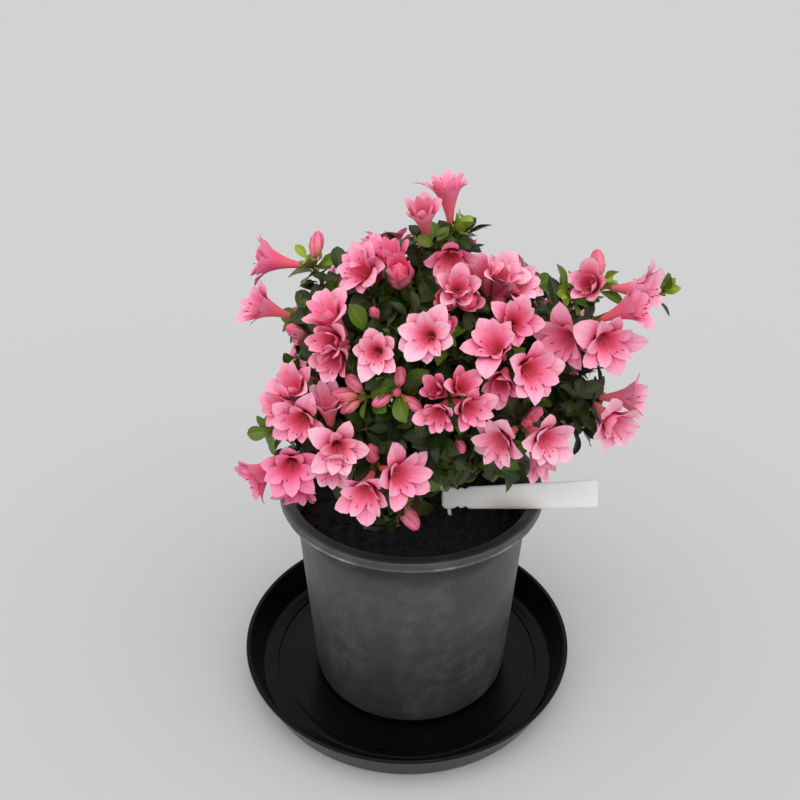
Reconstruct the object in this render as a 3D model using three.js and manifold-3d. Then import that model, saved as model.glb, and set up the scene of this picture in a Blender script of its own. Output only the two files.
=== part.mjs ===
// Potted azalea shrub in bloom: a dwarf shrub with trumpet blooms, in a round nursery pot
// that stands in a saucer, with a blank tie-on label looped round its lowest bough.
// Millimetres, +Z up. The origin is on the pot's axis, level with the saucer's underside.
// Angles are in degrees. A bearing is taken from +X towards +Y, and a rise from the level.

import * as THREE from "three";
import { mergeVertices } from "three/addons/utils/BufferGeometryUtils.js";
import Module from "manifold-3d";

const wasm = await Module();
wasm.setup();
const radians = THREE.MathUtils.degToRad;

// Clearances: between touching pieces, and round everything that grows
const GAP = 0.3;
const GROWING_ROOM = 0.4;
const SMALLEST_EDGE = 0.06;
const SHORTEST_EDGE = 0.015;
const THINNEST_FACE = 0.002;
const SAME_PLACE = 1e-3;

// Saucer: a shallow dish with a flared wall and a low ring on its floor
const SAUCER = {
  centre: [-2.4, -1.9],
  rimRadius: 107.4,
  baseRadius: 99,
  height: 23,
  wall: 1.8,
  floor: 2.2,
  lip: 2.6,
  ringRadius: 87,
  ringWidth: 3,
  ringHeight: 1.2,
};

// Pot: a tapering wall that flares out under a flat rim
const POT = {
  foot: SAUCER.floor + GAP,
  footRadius: 63.2,
  footChamfer: 3,
  neckRadius: 70.4,
  neckHeight: 115,
  flareTop: 137.5,
  rimRadius: 80,
  rimTop: 143.2,
  rimWidth: 7,
  lipOverhang: 1.4,
  wall: 1.8,
  floor: 2.4,
};
const ROUND_SIDES = 30;

// Soil: a low mound inside the pot
const SOIL = { edge: 117, top: 121, crownRadius: 17 };

// Trunk: a short leaning stem with a root flare, hidden in the crown
const TRUNK = {
  foot: SOIL.top + GAP,
  top: 160,
  lean: [5, 0],
  footRadius: 10.5,
  waistRadius: 6.4,
  topRadius: 4.6,
  flare: 3.2,
  sides: 10,
  steps: 8,
};

// Boughs leave the trunk and branches leave a bough. Both end as they enter a spray, at a share of
// the way from their root to the spray's middle, and rise by a share of their length on the way.
const BOUGH = { rootRadius: 3.1, tipRadius: 1.6, sides: 5, steps: 4, end: 0.72 };
const BRANCH = { rootRadius: 2.1, tipRadius: 1.5, sides: 4, steps: 3, end: 0.64 };
const BRANCH_ROOTS = [0.64, 0.46, 0.8, 0.54];
const LIMB_LIFT = 0.1;

// Crown: the ellipsoid that the tips of the longest sprays lie on
const CROWN = {
  centre: new THREE.Vector3(15, 0, 205),
  half: new THREE.Vector3(118, 92, 122),
};

// Twigs, leaves, blooms and buds
const STEM = { rootRadius: 1.5, tipRadius: 1.5, sides: 3, steps: 2, end: 0.35 };
const TWIG = { rootRadius: 1.4, tipRadius: 1.1, sides: 3, steps: 2 };
const TWIG_ROOTS = [0.8, 0.66, 0.9, 0.54];
const TWIG_BENDS = [0, 0.12, -0.12, 0.24, -0.24, 0.4, -0.4];
const LEAF = { length: 20, width: 10, thick: 0.9, sunk: 0.5, widest: 0.54, uneven: 0.25, stalk: 2.4 };
const LEAVES = { count: 4, from: 0.3, to: 0.97, lowSpread: 50, topSpread: 82 };
const BLOOM = {
  length: 30,
  radius: 16.5,
  closedShare: 0.4,
  tubeRadius: 3.4,
  tubeLength: 16,
  throat: 19,
  notchRadius: 11,
  notchSetback: 2.4,
  sunk: 1.6,
  lobes: 5,
};
const BUD = { length: 22, radius: 4.2, widest: 0.68, sunk: 1.6, sides: 5 };
const BUD_TRIES = { count: 8, turn: 0.7, lean: 0.16 };
const BLOOM_TRIES = { count: 28, turn: 1.1, lean: 0.08, sizes: [1, 0.9, 0.8, 0.7] };

// Boughs, each with how far up the trunk it leaves and its sprays, the first of them at its tip
const BOUGHS = [
  {
    name: "crest",
    leaves: 0.98,
    sprays: [
      {
        name: "top",
        trusses: [
          truss(-54, 85, 0.8, { blooms: [[180, 84, 0.62], [-93, -10, 0.7]] }),
          truss(-128, 82, 0.77, { blooms: [[-103, 60, 0.5]] }),
          truss(150, 56, 0.46, { blooms: [[200, 50, 1], [110, 30, 1]] }),
          truss(35, 54, 0.44, { blooms: [[20, 55, 1], [80, 30, 1]] }),
        ],
      },
      {
        name: "crest_front",
        trusses: [truss(-78, 64, 0.63, { blooms: [[-90, 50, 0.6], [-105, 25, 0.35], [-75, 25, 0.35]] })],
      },
      {
        name: "crest_right",
        trusses: [
          truss(-34, 63, 0.57, {
            blooms: [[-65, 58, 0.8], [-115, 60, 0.8], [-46, 42, 0.8]],
            buds: [[-64, 27, 0.8]],
          }),
        ],
      },
    ],
  },
  {
    name: "left",
    leaves: 0.86,
    sprays: [
      {
        name: "crest_left",
        trusses: [
          truss(-151, 63, 0.65, { blooms: [[-125, 40, 0.85], [-125, 62, 0.8]] }),
          truss(-129, 63, 0.66, {
            blooms: [[-91, 48, 0.3], [-125, 72, 0.6]],
            buds: [[-43, 64, 1], [-60, 82, 1]],
          }),
        ],
      },
      {
        name: "far_left",
        trusses: [
          truss(-175, 48, 0.87, { blooms: [[172, 14, 0.62]], buds: [[60, 70, 1]] }),
          truss(-162, 34, 0.81, { blooms: [[-158, 28, 0.7]] }),
        ],
      },
      {
        name: "mid_left",
        trusses: [
          truss(-132, 36, 0.72, { blooms: [[-119, 24, 0.7], [-112, 4, 0.7], [-143, 53, 0.8]] }),
          truss(-155, 30, 0.74, { buds: [[-150, 40, 0.9]] }),
          truss(-123, 45, 0.73, { buds: [[-110, 56, 0.7]] }),
        ],
      },
    ],
  },
  {
    name: "low_left",
    leaves: 0.5,
    sprays: [
      {
        name: "left",
        trusses: [
          truss(-143, 9, 0.72, {
            blooms: [[-132, 20, 0.75], [-104, 10, 0.9], [-131, 50, 0.75]],
            buds: [[-112, 43, 0.8]],
          }),
        ],
      },
      {
        name: "low_left",
        trusses: [
          truss(-144, -6, 0.84, { blooms: [[-87, 12, 1], [-140, -15, 0.85], [-82, -40, 0.8]] }),
          truss(-129, 2, 0.77, { blooms: [[-79, 18, 1], [-87, -10, 0.8], [-108, 77, 0.65]] }),
          truss(-145, 2, 0.93),
        ],
      },
      {
        name: "foot",
        trusses: [truss(-88, -10, 0.68), truss(-111, -29, 0.66, { buds: [[-36, -12, 0.9]] })],
      },
    ],
  },
  {
    name: "front",
    leaves: 0.68,
    sprays: [
      {
        name: "front_left",
        trusses: [
          truss(-115, 35, 0.76, { blooms: [[-98, 24, 0.85]], size: 0.88 }),
          truss(-117, 19, 0.77, { buds: [[-148, 57, 0.75], [-106, 19, 0.8], [-108, -19, 0.8]] }),
        ],
      },
      {
        name: "front",
        trusses: [
          truss(-93, 42, 0.73, { blooms: [[-106, 26, 1], [-79, 41, 0.3]], size: 0.9 }),
          truss(-106, 22, 0.76, {
            buds: [[-69, 74, 0.7], [-90, 31, 0.6], [-99, -2, 0.7], [-80, -12, 0.7]],
          }),
        ],
      },
      {
        name: "low_front",
        trusses: [truss(-114, -6, 0.74, { blooms: [[-100, -2, 1], [-55, 16, 1]], buds: [[-101, 60, 1]] })],
      },
    ],
  },
  {
    name: "middle",
    leaves: 0.8,
    sprays: [
      {
        name: "centre",
        trusses: [
          truss(-88, 21, 0.74, {
            blooms: [[-119, 38, 0.45], [-68, 43, 0.75], [-109, 3, 0.8], [-65, 11, 0.85]],
            size: 0.85,
          }),
          truss(-85, 6, 0.68, { buds: [[-80, -3, 0.7]] }),
        ],
      },
      {
        name: "heart",
        trusses: [
          truss(-63, 31, 0.71, { blooms: [[-122, 46, 1], [-68, 17, 0.9], [-103, 0, 0.6]] }),
          truss(-50, 45, 0.65, { blooms: [[-92, 32, 0.85]] }),
        ],
      },
    ],
  },
  {
    name: "low_right",
    leaves: 0.45,
    sprays: [
      {
        name: "low_middle",
        trusses: [
          truss(-61, 9, 0.73, {
            blooms: [[-126, 2, 1], [-66, 6, 0.9], [-70, -14, 0.8]],
            buds: [[-81, 33, 0.7], [-51, 49, 1]],
          }),
          truss(-72, -8, 0.72),
        ],
      },
      {
        name: "low_right",
        trusses: [truss(-27, 9, 0.77, { blooms: [[-28, 14, 0.8], [-68, -6, 0.8]] })],
      },
    ],
  },
  {
    name: "right",
    leaves: 0.76,
    sprays: [
      {
        name: "right",
        trusses: [
          truss(-28, 33, 0.88, { blooms: [[-130, 0, 1], [-82, 3, 1], [-30, 34, 0.8]] }),
          truss(-24, 44, 0.84),
        ],
      },
      {
        name: "far_right",
        trusses: [
          truss(-7, 38, 0.92, {
            blooms: [[-105, 32, 0.3], [-35, 10, 0.8]],
            buds: [[120, 75, 1], [-120, 30, 0.9]],
          }),
          truss(-4, 28, 1.14),
        ],
      },
    ],
  },
  {
    name: "back_right",
    leaves: 0.58,
    sprays: backSprays("back_right", [
      [20, 3, 0.6],
      [58, 3, 0.66],
      [32, 17, 0.54],
      [75, 30, 0.6],
    ]),
  },
  {
    name: "back_left",
    leaves: 0.63,
    sprays: backSprays("back_left", [
      [98, 3, 0.66],
      [138, 3, 0.62],
      [172, 2, 0.5],
      [112, 31, 0.6],
      [155, 28, 0.52],
    ]),
  },
];

// A truss: its base has a bearing, a rise and a depth in the crown, which is 1 on the crown's surface.
// Each bloom and bud looks along a bearing and a rise of its own. A bloom's third number is how far it
// is open, and a bud's is its size. A truss of neither blooms nor buds is a leafy tip.
function truss(bearing, rise, depth, bears = {}) {
  return { bearing, rise, depth, blooms: [], buds: [], size: 1, ...bears };
}

// Sprays of the back, each with trusses spread round its middle, which has a bearing, rise and depth
function backSprays(name, middles) {
  const BACK = { trusses: 3, spread: 16, fan: 24, tilt: 12 };
  return middles.map(([middle, height, depth], index) => ({
    name: `${name}_${index + 1}`,
    trusses: Array.from({ length: BACK.trusses }, (_, k) => {
      const turn = radians((360 * (k + index / 2)) / BACK.trusses);
      const bearing = middle + (BACK.spread * Math.cos(turn)) / Math.cos(radians(height));
      const rise = height + BACK.spread * Math.sin(turn);
      const first = [bearing - BACK.fan, rise + BACK.tilt, 1];
      const second = [bearing + BACK.fan, rise - BACK.tilt, 1];
      const bears = k === 0 ? { blooms: [first], buds: [second] } : { blooms: [first, second] };
      return truss(bearing, rise, depth, bears);
    }),
  }));
}

// Label: a blank strip on a loop, its lower edge resting on the pot's rim
const LABEL = {
  end: 109,
  width: 17,
  neckWidth: 12,
  thick: 0.8,
  tilt: 29,
  corner: 1.5,
  lap: 2.5,
  loopAlong: 0.42,
  loopRadius: 8,
  loopWidth: 8,
  loopSides: 8,
};

const SEED = 7553;
const GOLDEN_TURN = Math.PI * (3 - Math.sqrt(5));

// Seeded draws from 0 to 1
function drawsFrom(seed) {
  let state = seed | 0;
  return () => {
    state = (state + 0x6d2b79f5) | 0;
    let mixed = Math.imul(state ^ (state >>> 15), 1 | state);
    mixed = (mixed + Math.imul(mixed ^ (mixed >>> 7), 61 | mixed)) ^ mixed;
    return ((mixed ^ (mixed >>> 14)) >>> 0) / 4294967296;
  };
}

// Solids and meshes

function solidFrom(geometry) {
  const bare = geometry.clone();
  bare.deleteAttribute("normal");
  bare.deleteAttribute("uv");
  const merged = mergeVertices(bare, SAME_PLACE);
  const corners = merged.index.array;
  const triVerts = [];
  for (let i = 0; i < corners.length; i += 3) {
    const [a, b, c] = [corners[i], corners[i + 1], corners[i + 2]];
    if (a !== b && b !== c && c !== a) triVerts.push(a, b, c);
  }
  const vertProperties = new Float32Array(merged.attributes.position.array);
  const mesh = new wasm.Mesh({ numProp: 3, vertProperties, triVerts: new Uint32Array(triVerts) });
  return new wasm.Manifold(mesh);
}

function geometryFrom(points, faces) {
  const geometry = new THREE.BufferGeometry();
  geometry.setFromPoints(points);
  geometry.setIndex(faces.flat());
  return geometry;
}

function geometryOf(solid) {
  const { vertProperties, triVerts } = solid.getMesh();
  const geometry = new THREE.BufferGeometry();
  geometry.setAttribute("position", new THREE.BufferAttribute(vertProperties, 3));
  geometry.setIndex(new THREE.BufferAttribute(triVerts, 1));
  geometry.computeVertexNormals();
  return geometry;
}

// The largest body: loose scraps are dropped and sealed hollows filled
function wholeBody(solid) {
  const bodies = solid.decompose();
  return bodies.reduce((best, body) => (body.volume() > best.volume() ? body : best));
}

// Whether none of a solid's faces is a sliver
function isSound(solid) {
  const { vertProperties, triVerts } = solid.getMesh();
  const corner = (k) => new THREE.Vector3().fromArray(vertProperties, 3 * triVerts[k]);
  for (let k = 0; k < triVerts.length; k += 3) {
    const face = new THREE.Triangle(corner(k), corner(k + 1), corner(k + 2));
    const edges = [face.a.distanceTo(face.b), face.b.distanceTo(face.c), face.c.distanceTo(face.a)];
    const height = (2 * face.getArea()) / Math.max(...edges);
    if (Math.min(...edges) < SHORTEST_EDGE || height < THINNEST_FACE) return false;
  }
  return true;
}

// Thicket: all that takes up room in the crown, each piece tagged with what it belongs to
class Thicket {
  pieces = [];

  add(solid, tag) {
    this.pieces.push({ solid, tag, box: solid.boundingBox() });
    return solid;
  }

  hasRoomFor(solid, ...ownTags) {
    const { min, max } = solid.boundingBox();
    const apart = (box) => [0, 1, 2].some((k) => min[k] > box.max[k] || max[k] < box.min[k]);
    return this.pieces.every(
      (piece) =>
        ownTags.includes(piece.tag) || apart(piece.box) || solid.intersect(piece.solid).isEmpty(),
    );
  }
}

// Round pieces: a profile of radius and height turned about the pot's axis
function turned(profile) {
  const points = profile.map(([radius, height]) => new THREE.Vector2(radius, height));
  const geometry = new THREE.LatheGeometry(points, ROUND_SIDES);
  return geometry.rotateX(Math.PI / 2);
}

function potInnerRadius(height) {
  const rise = THREE.MathUtils.clamp((height - POT.foot) / (POT.neckHeight - POT.foot), 0, 1);
  return THREE.MathUtils.lerp(POT.footRadius, POT.neckRadius, rise) - POT.wall;
}

function saucerGeometry() {
  const innerBase = SAUCER.baseRadius - SAUCER.wall;
  const innerRim = SAUCER.rimRadius - SAUCER.lip;
  const ringInner = SAUCER.ringRadius - SAUCER.ringWidth;
  return turned([
    [0, 0],
    [SAUCER.baseRadius - 2, 0],
    [SAUCER.baseRadius, 2],
    [SAUCER.rimRadius - SAUCER.lip + SAUCER.wall, SAUCER.height - SAUCER.lip],
    [SAUCER.rimRadius, SAUCER.height - SAUCER.lip / 2],
    [SAUCER.rimRadius - SAUCER.lip / 4, SAUCER.height],
    [innerRim, SAUCER.height],
    [innerBase, SAUCER.floor + 2],
    [innerBase - 2, SAUCER.floor],
    [SAUCER.ringRadius + 1, SAUCER.floor],
    [SAUCER.ringRadius, SAUCER.floor + SAUCER.ringHeight],
    [ringInner, SAUCER.floor + SAUCER.ringHeight],
    [ringInner - 1, SAUCER.floor],
    [0, SAUCER.floor],
  ]);
}

function potGeometry() {
  const rimInner = POT.rimRadius - POT.rimWidth;
  const flareRise = POT.flareTop - POT.neckHeight;
  const flareReach = POT.rimRadius - POT.lipOverhang - POT.neckRadius;
  const flare = [0.35, 0.65, 0.85, 1].map((t) => [
    POT.neckRadius + flareReach * t ** 2.2,
    POT.neckHeight + flareRise * t,
  ]);
  const flareInside = [0.85, 0.5].map((t) => [
    POT.neckRadius + flareReach * t ** 2.2 - POT.wall * 1.1,
    POT.neckHeight + flareRise * t,
  ]);
  const floorTop = POT.foot + POT.floor;
  return turned([
    [0, POT.foot],
    [POT.footRadius - POT.footChamfer, POT.foot],
    [POT.footRadius, POT.foot + POT.footChamfer],
    [POT.neckRadius, POT.neckHeight],
    ...flare,
    [POT.rimRadius, POT.flareTop + 0.6],
    [POT.rimRadius, POT.rimTop - 0.8],
    [POT.rimRadius - 0.8, POT.rimTop],
    [rimInner, POT.rimTop],
    [rimInner - 0.6, POT.rimTop - 1.4],
    ...flareInside,
    [potInnerRadius(POT.neckHeight), POT.neckHeight],
    [potInnerRadius(floorTop), floorTop],
    [0, floorTop],
  ]);
}

function soilGeometry() {
  const floor = POT.foot + POT.floor + GAP;
  return turned([
    [0, floor],
    [potInnerRadius(floor) - GAP, floor],
    [potInnerRadius(POT.neckHeight) - GAP, POT.neckHeight],
    [potInnerRadius(SOIL.edge) - GAP, SOIL.edge],
    [(potInnerRadius(SOIL.edge) + SOIL.crownRadius) / 2, SOIL.edge + (SOIL.top - SOIL.edge) * 0.7],
    [SOIL.crownRadius, SOIL.top],
    [0, SOIL.top],
  ]);
}

// Limbs

// A closed tube along a curve, its radius worked out from how far along it is. A grown one is
// larger all over, ends included.
function sweep(curve, radiusAt, sides, steps, grown = 0) {
  const { tangents, normals, binormals } = curve.computeFrenetFrames(steps, false);
  const points = [];
  const faces = [];
  for (let i = 0; i <= steps; i += 1) {
    const centre = curve.getPointAt(i / steps);
    if (i === 0) centre.addScaledVector(tangents[i], -grown);
    if (i === steps) centre.addScaledVector(tangents[i], grown);
    for (let j = 0; j < sides; j += 1) {
      const turn = (2 * Math.PI * j) / sides;
      const radius = radiusAt(i / steps) + grown;
      const point = centre.clone();
      point.addScaledVector(normals[i], radius * Math.cos(turn));
      point.addScaledVector(binormals[i], radius * Math.sin(turn));
      points.push(point);
    }
  }
  for (let i = 0; i < steps; i += 1) {
    for (let j = 0; j < sides; j += 1) {
      const [a, b] = [i * sides + j, i * sides + ((j + 1) % sides)];
      faces.push([a, b, b + sides], [a, b + sides, a + sides]);
    }
  }
  const last = steps * sides;
  for (let j = 1; j < sides - 1; j += 1) {
    faces.push([0, j + 1, j], [last, last + j, last + j + 1]);
  }
  return solidFrom(geometryFrom(points, faces));
}

function trunkCurve() {
  const foot = new THREE.Vector3(0, 0, TRUNK.foot);
  const waist = new THREE.Vector3(0, 0, (TRUNK.foot * 2 + TRUNK.top) / 3);
  const top = new THREE.Vector3(TRUNK.lean[0], TRUNK.lean[1], TRUNK.top);
  return new THREE.QuadraticBezierCurve3(foot, waist, top);
}

function trunkRadius(along) {
  const straight = THREE.MathUtils.lerp(TRUNK.waistRadius, TRUNK.topRadius, along);
  return straight + (TRUNK.footRadius - TRUNK.waistRadius) * (1 - along) ** (TRUNK.flare * 2);
}

function taper(size) {
  return (along) => THREE.MathUtils.lerp(size.rootRadius, size.tipRadius, along);
}

// A limb rises a little above the straight line from its root to its tip
function limbCurve(root, tip) {
  const middle = root.clone().lerp(tip, 0.5);
  middle.z += root.distanceTo(tip) * LIMB_LIFT;
  return new THREE.QuadraticBezierCurve3(root, middle, tip);
}

// Crown

// The direction along a bearing round the vertical and a rise above the level, both in degrees
function heading(bearing, rise) {
  const [turn, lift] = [radians(bearing), radians(rise)];
  return new THREE.Vector3(
    Math.cos(lift) * Math.cos(turn),
    Math.cos(lift) * Math.sin(turn),
    Math.sin(lift),
  );
}

function crownPoint({ bearing, rise, depth }) {
  return heading(bearing, rise).multiply(CROWN.half).multiplyScalar(depth).add(CROWN.centre);
}

function crownOutward(point) {
  const away = point.clone().sub(CROWN.centre);
  return away.divide(CROWN.half).divide(CROWN.half).normalize();
}

function sprayMiddle(spray) {
  const sum = spray.trusses.reduce((total, truss) => total.add(crownPoint(truss)), new THREE.Vector3());
  return sum.divideScalar(spray.trusses.length);
}

function frameRound(way) {
  const reference = Math.abs(way.z) < 0.9 ? new THREE.Vector3(0, 0, 1) : new THREE.Vector3(1, 0, 0);
  const aside = new THREE.Vector3().crossVectors(reference, way).normalize();
  const over = new THREE.Vector3().crossVectors(way, aside);
  return { aside, over };
}

// A direction tipped away from another by an angle, at a turn round it
function tipped(way, angle, turn) {
  const { aside, over } = frameRound(way);
  const lean = aside.multiplyScalar(Math.cos(turn)).addScaledVector(over, Math.sin(turn));
  return way.clone().multiplyScalar(Math.cos(angle)).addScaledVector(lean, Math.sin(angle));
}

// Leaf: a kite of eight faces, ridged on both sides, its root sunk past the twig's middle
function leafSolid(root, way, size, grown = 0) {
  const { aside, over } = frameRound(way);
  const length = LEAF.length * size;
  const at = (along, across, up) =>
    root.clone().addScaledVector(way, along).addScaledVector(aside, across).addScaledVector(over, up);
  const middle = length * LEAF.widest;
  const halfWidth = (LEAF.width * size) / 2 + grown;
  const halfThick = LEAF.thick / 2 + grown;
  const points = [
    at(-LEAF.sunk - grown, 0, 0),
    at(middle, halfWidth, 0),
    at(length + grown, 0, 0),
    at(middle, -halfWidth, 0),
    at(middle, 0, halfThick),
    at(middle, 0, -halfThick),
  ];
  const faces = [];
  for (let j = 0; j < 4; j += 1) {
    const next = (j + 1) % 4;
    faces.push([next, j, 4], [j, next, 5]);
  }
  return solidFrom(geometryFrom(points, faces));
}

function ring(centre, way, radius, sides, turn) {
  return Array.from({ length: sides }, (_, j) => {
    const lean = tipped(way, Math.PI / 2, turn + (2 * Math.PI * j) / sides);
    return centre.clone().addScaledVector(lean, radius);
  });
}

// Bloom: a trumpet on a thin stalk, with five pointed lobes, open to its throat
function bloomSolid(root, way, { turn, size, opened }, grown = 0) {
  const along = (distance) => root.clone().addScaledVector(way, distance);
  const count = BLOOM.lobes;
  const half = Math.PI / count;
  const spread = size * THREE.MathUtils.lerp(BLOOM.closedShare, 1, opened);
  const notchHeight = (BLOOM.length - BLOOM.notchSetback) * size;
  const points = [
    along(-BLOOM.sunk - grown),
    along(BLOOM.throat * size),
    ...ring(along(BLOOM.tubeLength * size), way, BLOOM.tubeRadius * size + grown, count, turn),
    ...ring(along(BLOOM.length * size + grown), way, BLOOM.radius * spread + grown, count, turn),
    ...ring(along(notchHeight + grown), way, BLOOM.notchRadius * spread + grown, count, turn + half),
  ];
  const faces = [];
  for (let j = 0; j < count; j += 1) {
    const next = (j + 1) % count;
    const [tube, tubeNext] = [2 + j, 2 + next];
    const [lobe, lobeNext] = [tube + count, tubeNext + count];
    const notch = lobe + count;
    faces.push([0, tubeNext, tube], [tube, notch, lobe], [tube, tubeNext, notch]);
    faces.push([tubeNext, lobeNext, notch], [1, lobe, notch], [1, notch, lobeNext]);
  }
  return solidFrom(geometryFrom(points, faces));
}

function budSolid(root, way, turn, size, grown = 0) {
  const along = (distance) => root.clone().addScaledVector(way, distance);
  const widest = along(BUD.length * BUD.widest * size);
  const points = [
    along(-BUD.sunk - grown),
    along(BUD.length * size + grown),
    ...ring(widest, way, BUD.radius * size + grown, BUD.sides, turn),
  ];
  const faces = [];
  for (let j = 0; j < BUD.sides; j += 1) {
    const next = (j + 1) % BUD.sides;
    faces.push([0, 2 + next, 2 + j], [1, 2 + j, 2 + next]);
  }
  return solidFrom(geometryFrom(points, faces));
}

// Spray: twigs that branch from one stem, with blooms, buds and leaves fused on. Whatever would
// touch a limb, another spray or another truss is skipped, as is what would leave slivers at its joint.
class Spray {
  constructor({ name, trusses }, limb, thicket, draw) {
    Object.assign(this, { name, trusses, limb, thicket, draw });
    const tip = limb.curve.getPointAt(1);
    const onward = limb.curve.getTangentAt(1);
    const hub = tip.clone().lerp(sprayMiddle(this), STEM.end);
    const root = tip.clone().addScaledVector(onward, GAP);
    const bend = tip.clone().addScaledVector(onward, tip.distanceTo(hub) / 2);
    this.stem = new THREE.QuadraticBezierCurve3(root, bend, hub);
    this.body = thicket.add(sweep(this.stem, taper(STEM), STEM.sides, STEM.steps), this);
    this.shoots = [];
  }

  // Fuses on what a function makes, if the same thing grown larger has room
  keep(make, tag, ...ownTags) {
    if (!this.thicket.hasRoomFor(make(GROWING_ROOM), tag, this, ...ownTags)) return false;
    const piece = make(0);
    const joined = wholeBody(this.body.add(piece).simplify(SMALLEST_EDGE));
    if (!isSound(joined)) return false;
    this.body = joined;
    this.thicket.add(piece, tag);
    return true;
  }

  uneven(share) {
    return 1 + share * (2 * this.draw() - 1);
  }

  // A twig from the stem to each truss, with its blooms and buds at the tip
  growTrusses() {
    this.shoots.push({ tag: this, twig: this.stem });
    for (const [index, truss] of this.trusses.entries()) {
      const base = crownPoint(truss);
      const way = crownOutward(base);
      for (const [bearing, rise] of [...truss.blooms, ...truss.buds]) way.add(heading(bearing, rise));
      const twig = this.growTwig(truss, index, base, way.normalize());
      if (!twig) continue;
      this.shoots.push({ tag: truss, twig });
      this.growBlooms(truss, base);
      this.growBuds(truss, base);
    }
  }

  // The first twig that there is room for, from straight to more and more bent. The twigs of a spray
  // leave its stem at different heights.
  growTwig(truss, index, base, way) {
    for (const bend of TWIG_BENDS) {
      for (let k = 0; k < TWIG_ROOTS.length; k += 1) {
        const root = this.stem.getPointAt(TWIG_ROOTS[(index + k) % TWIG_ROOTS.length]);
        const length = root.distanceTo(base);
        const { aside } = frameRound(base.clone().sub(root).normalize());
        const middle = base.clone().addScaledVector(way, -length / 3);
        middle.addScaledVector(aside, bend * length);
        const twig = new THREE.QuadraticBezierCurve3(root, middle, base);
        const make = (grown) => sweep(twig, taper(TWIG), TWIG.sides, TWIG.steps, grown);
        if (this.keep(make, truss, this.limb, ...this.trusses)) return twig;
      }
    }
    return null;
  }

  // A bloom that has no room is leaned over and made smaller until it has
  growBlooms(truss, base) {
    for (const [bearing, rise, opened] of truss.blooms) {
      const look = heading(bearing, rise);
      const turn = 2 * Math.PI * this.draw();
      for (let attempt = 0; attempt < BLOOM_TRIES.count; attempt += 1) {
        const size = truss.size * BLOOM_TRIES.sizes[attempt % BLOOM_TRIES.sizes.length];
        const round = Math.floor(attempt / BLOOM_TRIES.sizes.length);
        const way = tipped(look, round * BLOOM_TRIES.lean, round * BLOOM_TRIES.turn);
        const form = { turn, size, opened };
        if (this.keep((grown) => bloomSolid(base, way, form, grown), truss)) break;
      }
    }
  }

  // A bud that has no room is leaned over until it has
  growBuds(truss, base) {
    for (const [bearing, rise, size] of truss.buds) {
      const look = heading(bearing, rise);
      const turn = 2 * Math.PI * this.draw();
      for (let attempt = 0; attempt < BUD_TRIES.count; attempt += 1) {
        const way = tipped(look, attempt * BUD_TRIES.lean, attempt * BUD_TRIES.turn);
        if (this.keep((grown) => budSolid(base, way, turn, size, grown), truss)) break;
      }
    }
  }

  // Leaves in a spiral up the stem and each twig, closest at its tip. A blade stands clear of all.
  growLeaves() {
    for (const { tag, twig } of this.shoots) {
      const firstTurn = 2 * Math.PI * this.draw();
      for (let k = 0; k < LEAVES.count; k += 1) {
        const share = k / (LEAVES.count - 1);
        const along = THREE.MathUtils.lerp(LEAVES.from, LEAVES.to, Math.sqrt(share));
        const spread = radians(THREE.MathUtils.lerp(LEAVES.lowSpread, LEAVES.topSpread, share));
        const turn = firstTurn + k * GOLDEN_TURN;
        const way = tipped(twig.getTangentAt(along), spread * this.uneven(0.2), turn);
        const root = twig.getPointAt(along);
        const size = this.uneven(LEAF.uneven);
        const blade = leafSolid(root.clone().addScaledVector(way, LEAF.stalk), way, size);
        if (!this.thicket.hasRoomFor(blade)) continue;
        this.keep((grown) => leafSolid(root, way, size, grown), tag);
      }
    }
  }
}

// Label: the loop that hangs from a limb, and a strip that runs out from the loop's foot with its
// lower edge level on the pot's rim
function labelSolid(limb) {
  const at = limb.curve.getPointAt(LABEL.loopAlong);
  const axis = limb.curve.getTangentAt(LABEL.loopAlong);
  const down = new THREE.Vector3(0, 0, -1).projectOnPlane(axis).normalize();
  const hang = LABEL.loopRadius - LABEL.thick - taper(BOUGH)(LABEL.loopAlong) - GAP;
  const centre = at.clone().addScaledVector(down, hang);
  const band = new THREE.Shape();
  band.absarc(0, 0, LABEL.loopRadius, 0, 2 * Math.PI);
  const hole = new THREE.Path();
  hole.absarc(0, 0, LABEL.loopRadius - LABEL.thick, 0, 2 * Math.PI);
  band.holes.push(hole);
  const loop = new THREE.ExtrudeGeometry(band, {
    depth: LABEL.loopWidth,
    bevelEnabled: false,
    curveSegments: LABEL.loopSides,
  });
  loop.translate(0, 0, -LABEL.loopWidth / 2);
  loop.applyQuaternion(new THREE.Quaternion().setFromUnitVectors(new THREE.Vector3(0, 0, 1), axis));
  loop.translate(centre.x, centre.y, centre.z);

  const tilt = radians(LABEL.tilt);
  const foot = centre.addScaledVector(down, LABEL.loopRadius);
  const drop = foot.z - POT.rimTop - GAP;
  const length = LABEL.end - foot.x + LABEL.lap;
  const shape = new THREE.Shape();
  shape.moveTo(0, 0);
  shape.lineTo(length - LABEL.corner, 0);
  shape.lineTo(length, LABEL.corner);
  shape.lineTo(length, LABEL.width - LABEL.corner);
  shape.lineTo(length - LABEL.corner, LABEL.width);
  shape.lineTo(0, LABEL.neckWidth);
  shape.closePath();
  const strip = new THREE.ExtrudeGeometry(shape, { depth: LABEL.thick, bevelEnabled: false });
  strip.rotateX(Math.PI / 2 - tilt);
  strip.translate(foot.x - LABEL.lap, foot.y - drop * Math.tan(tilt), POT.rimTop + GAP);
  return solidFrom(strip).add(solidFrom(loop));
}

// Finishes
const FINISHES = {
  saucer: { color: 0x131315, roughness: 0.35, metalness: 0 },
  pot: { color: 0x464a4c, roughness: 0.55, metalness: 0 },
  soil: { color: 0x16120f, roughness: 1, metalness: 0 },
  bark: { color: 0x6b4634, roughness: 0.85, metalness: 0 },
  spray: { color: 0xe88aa4, roughness: 0.6, metalness: 0 },
  label: { color: 0xe9e9e4, roughness: 0.45, metalness: 0 },
};

const group = new THREE.Group();

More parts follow.
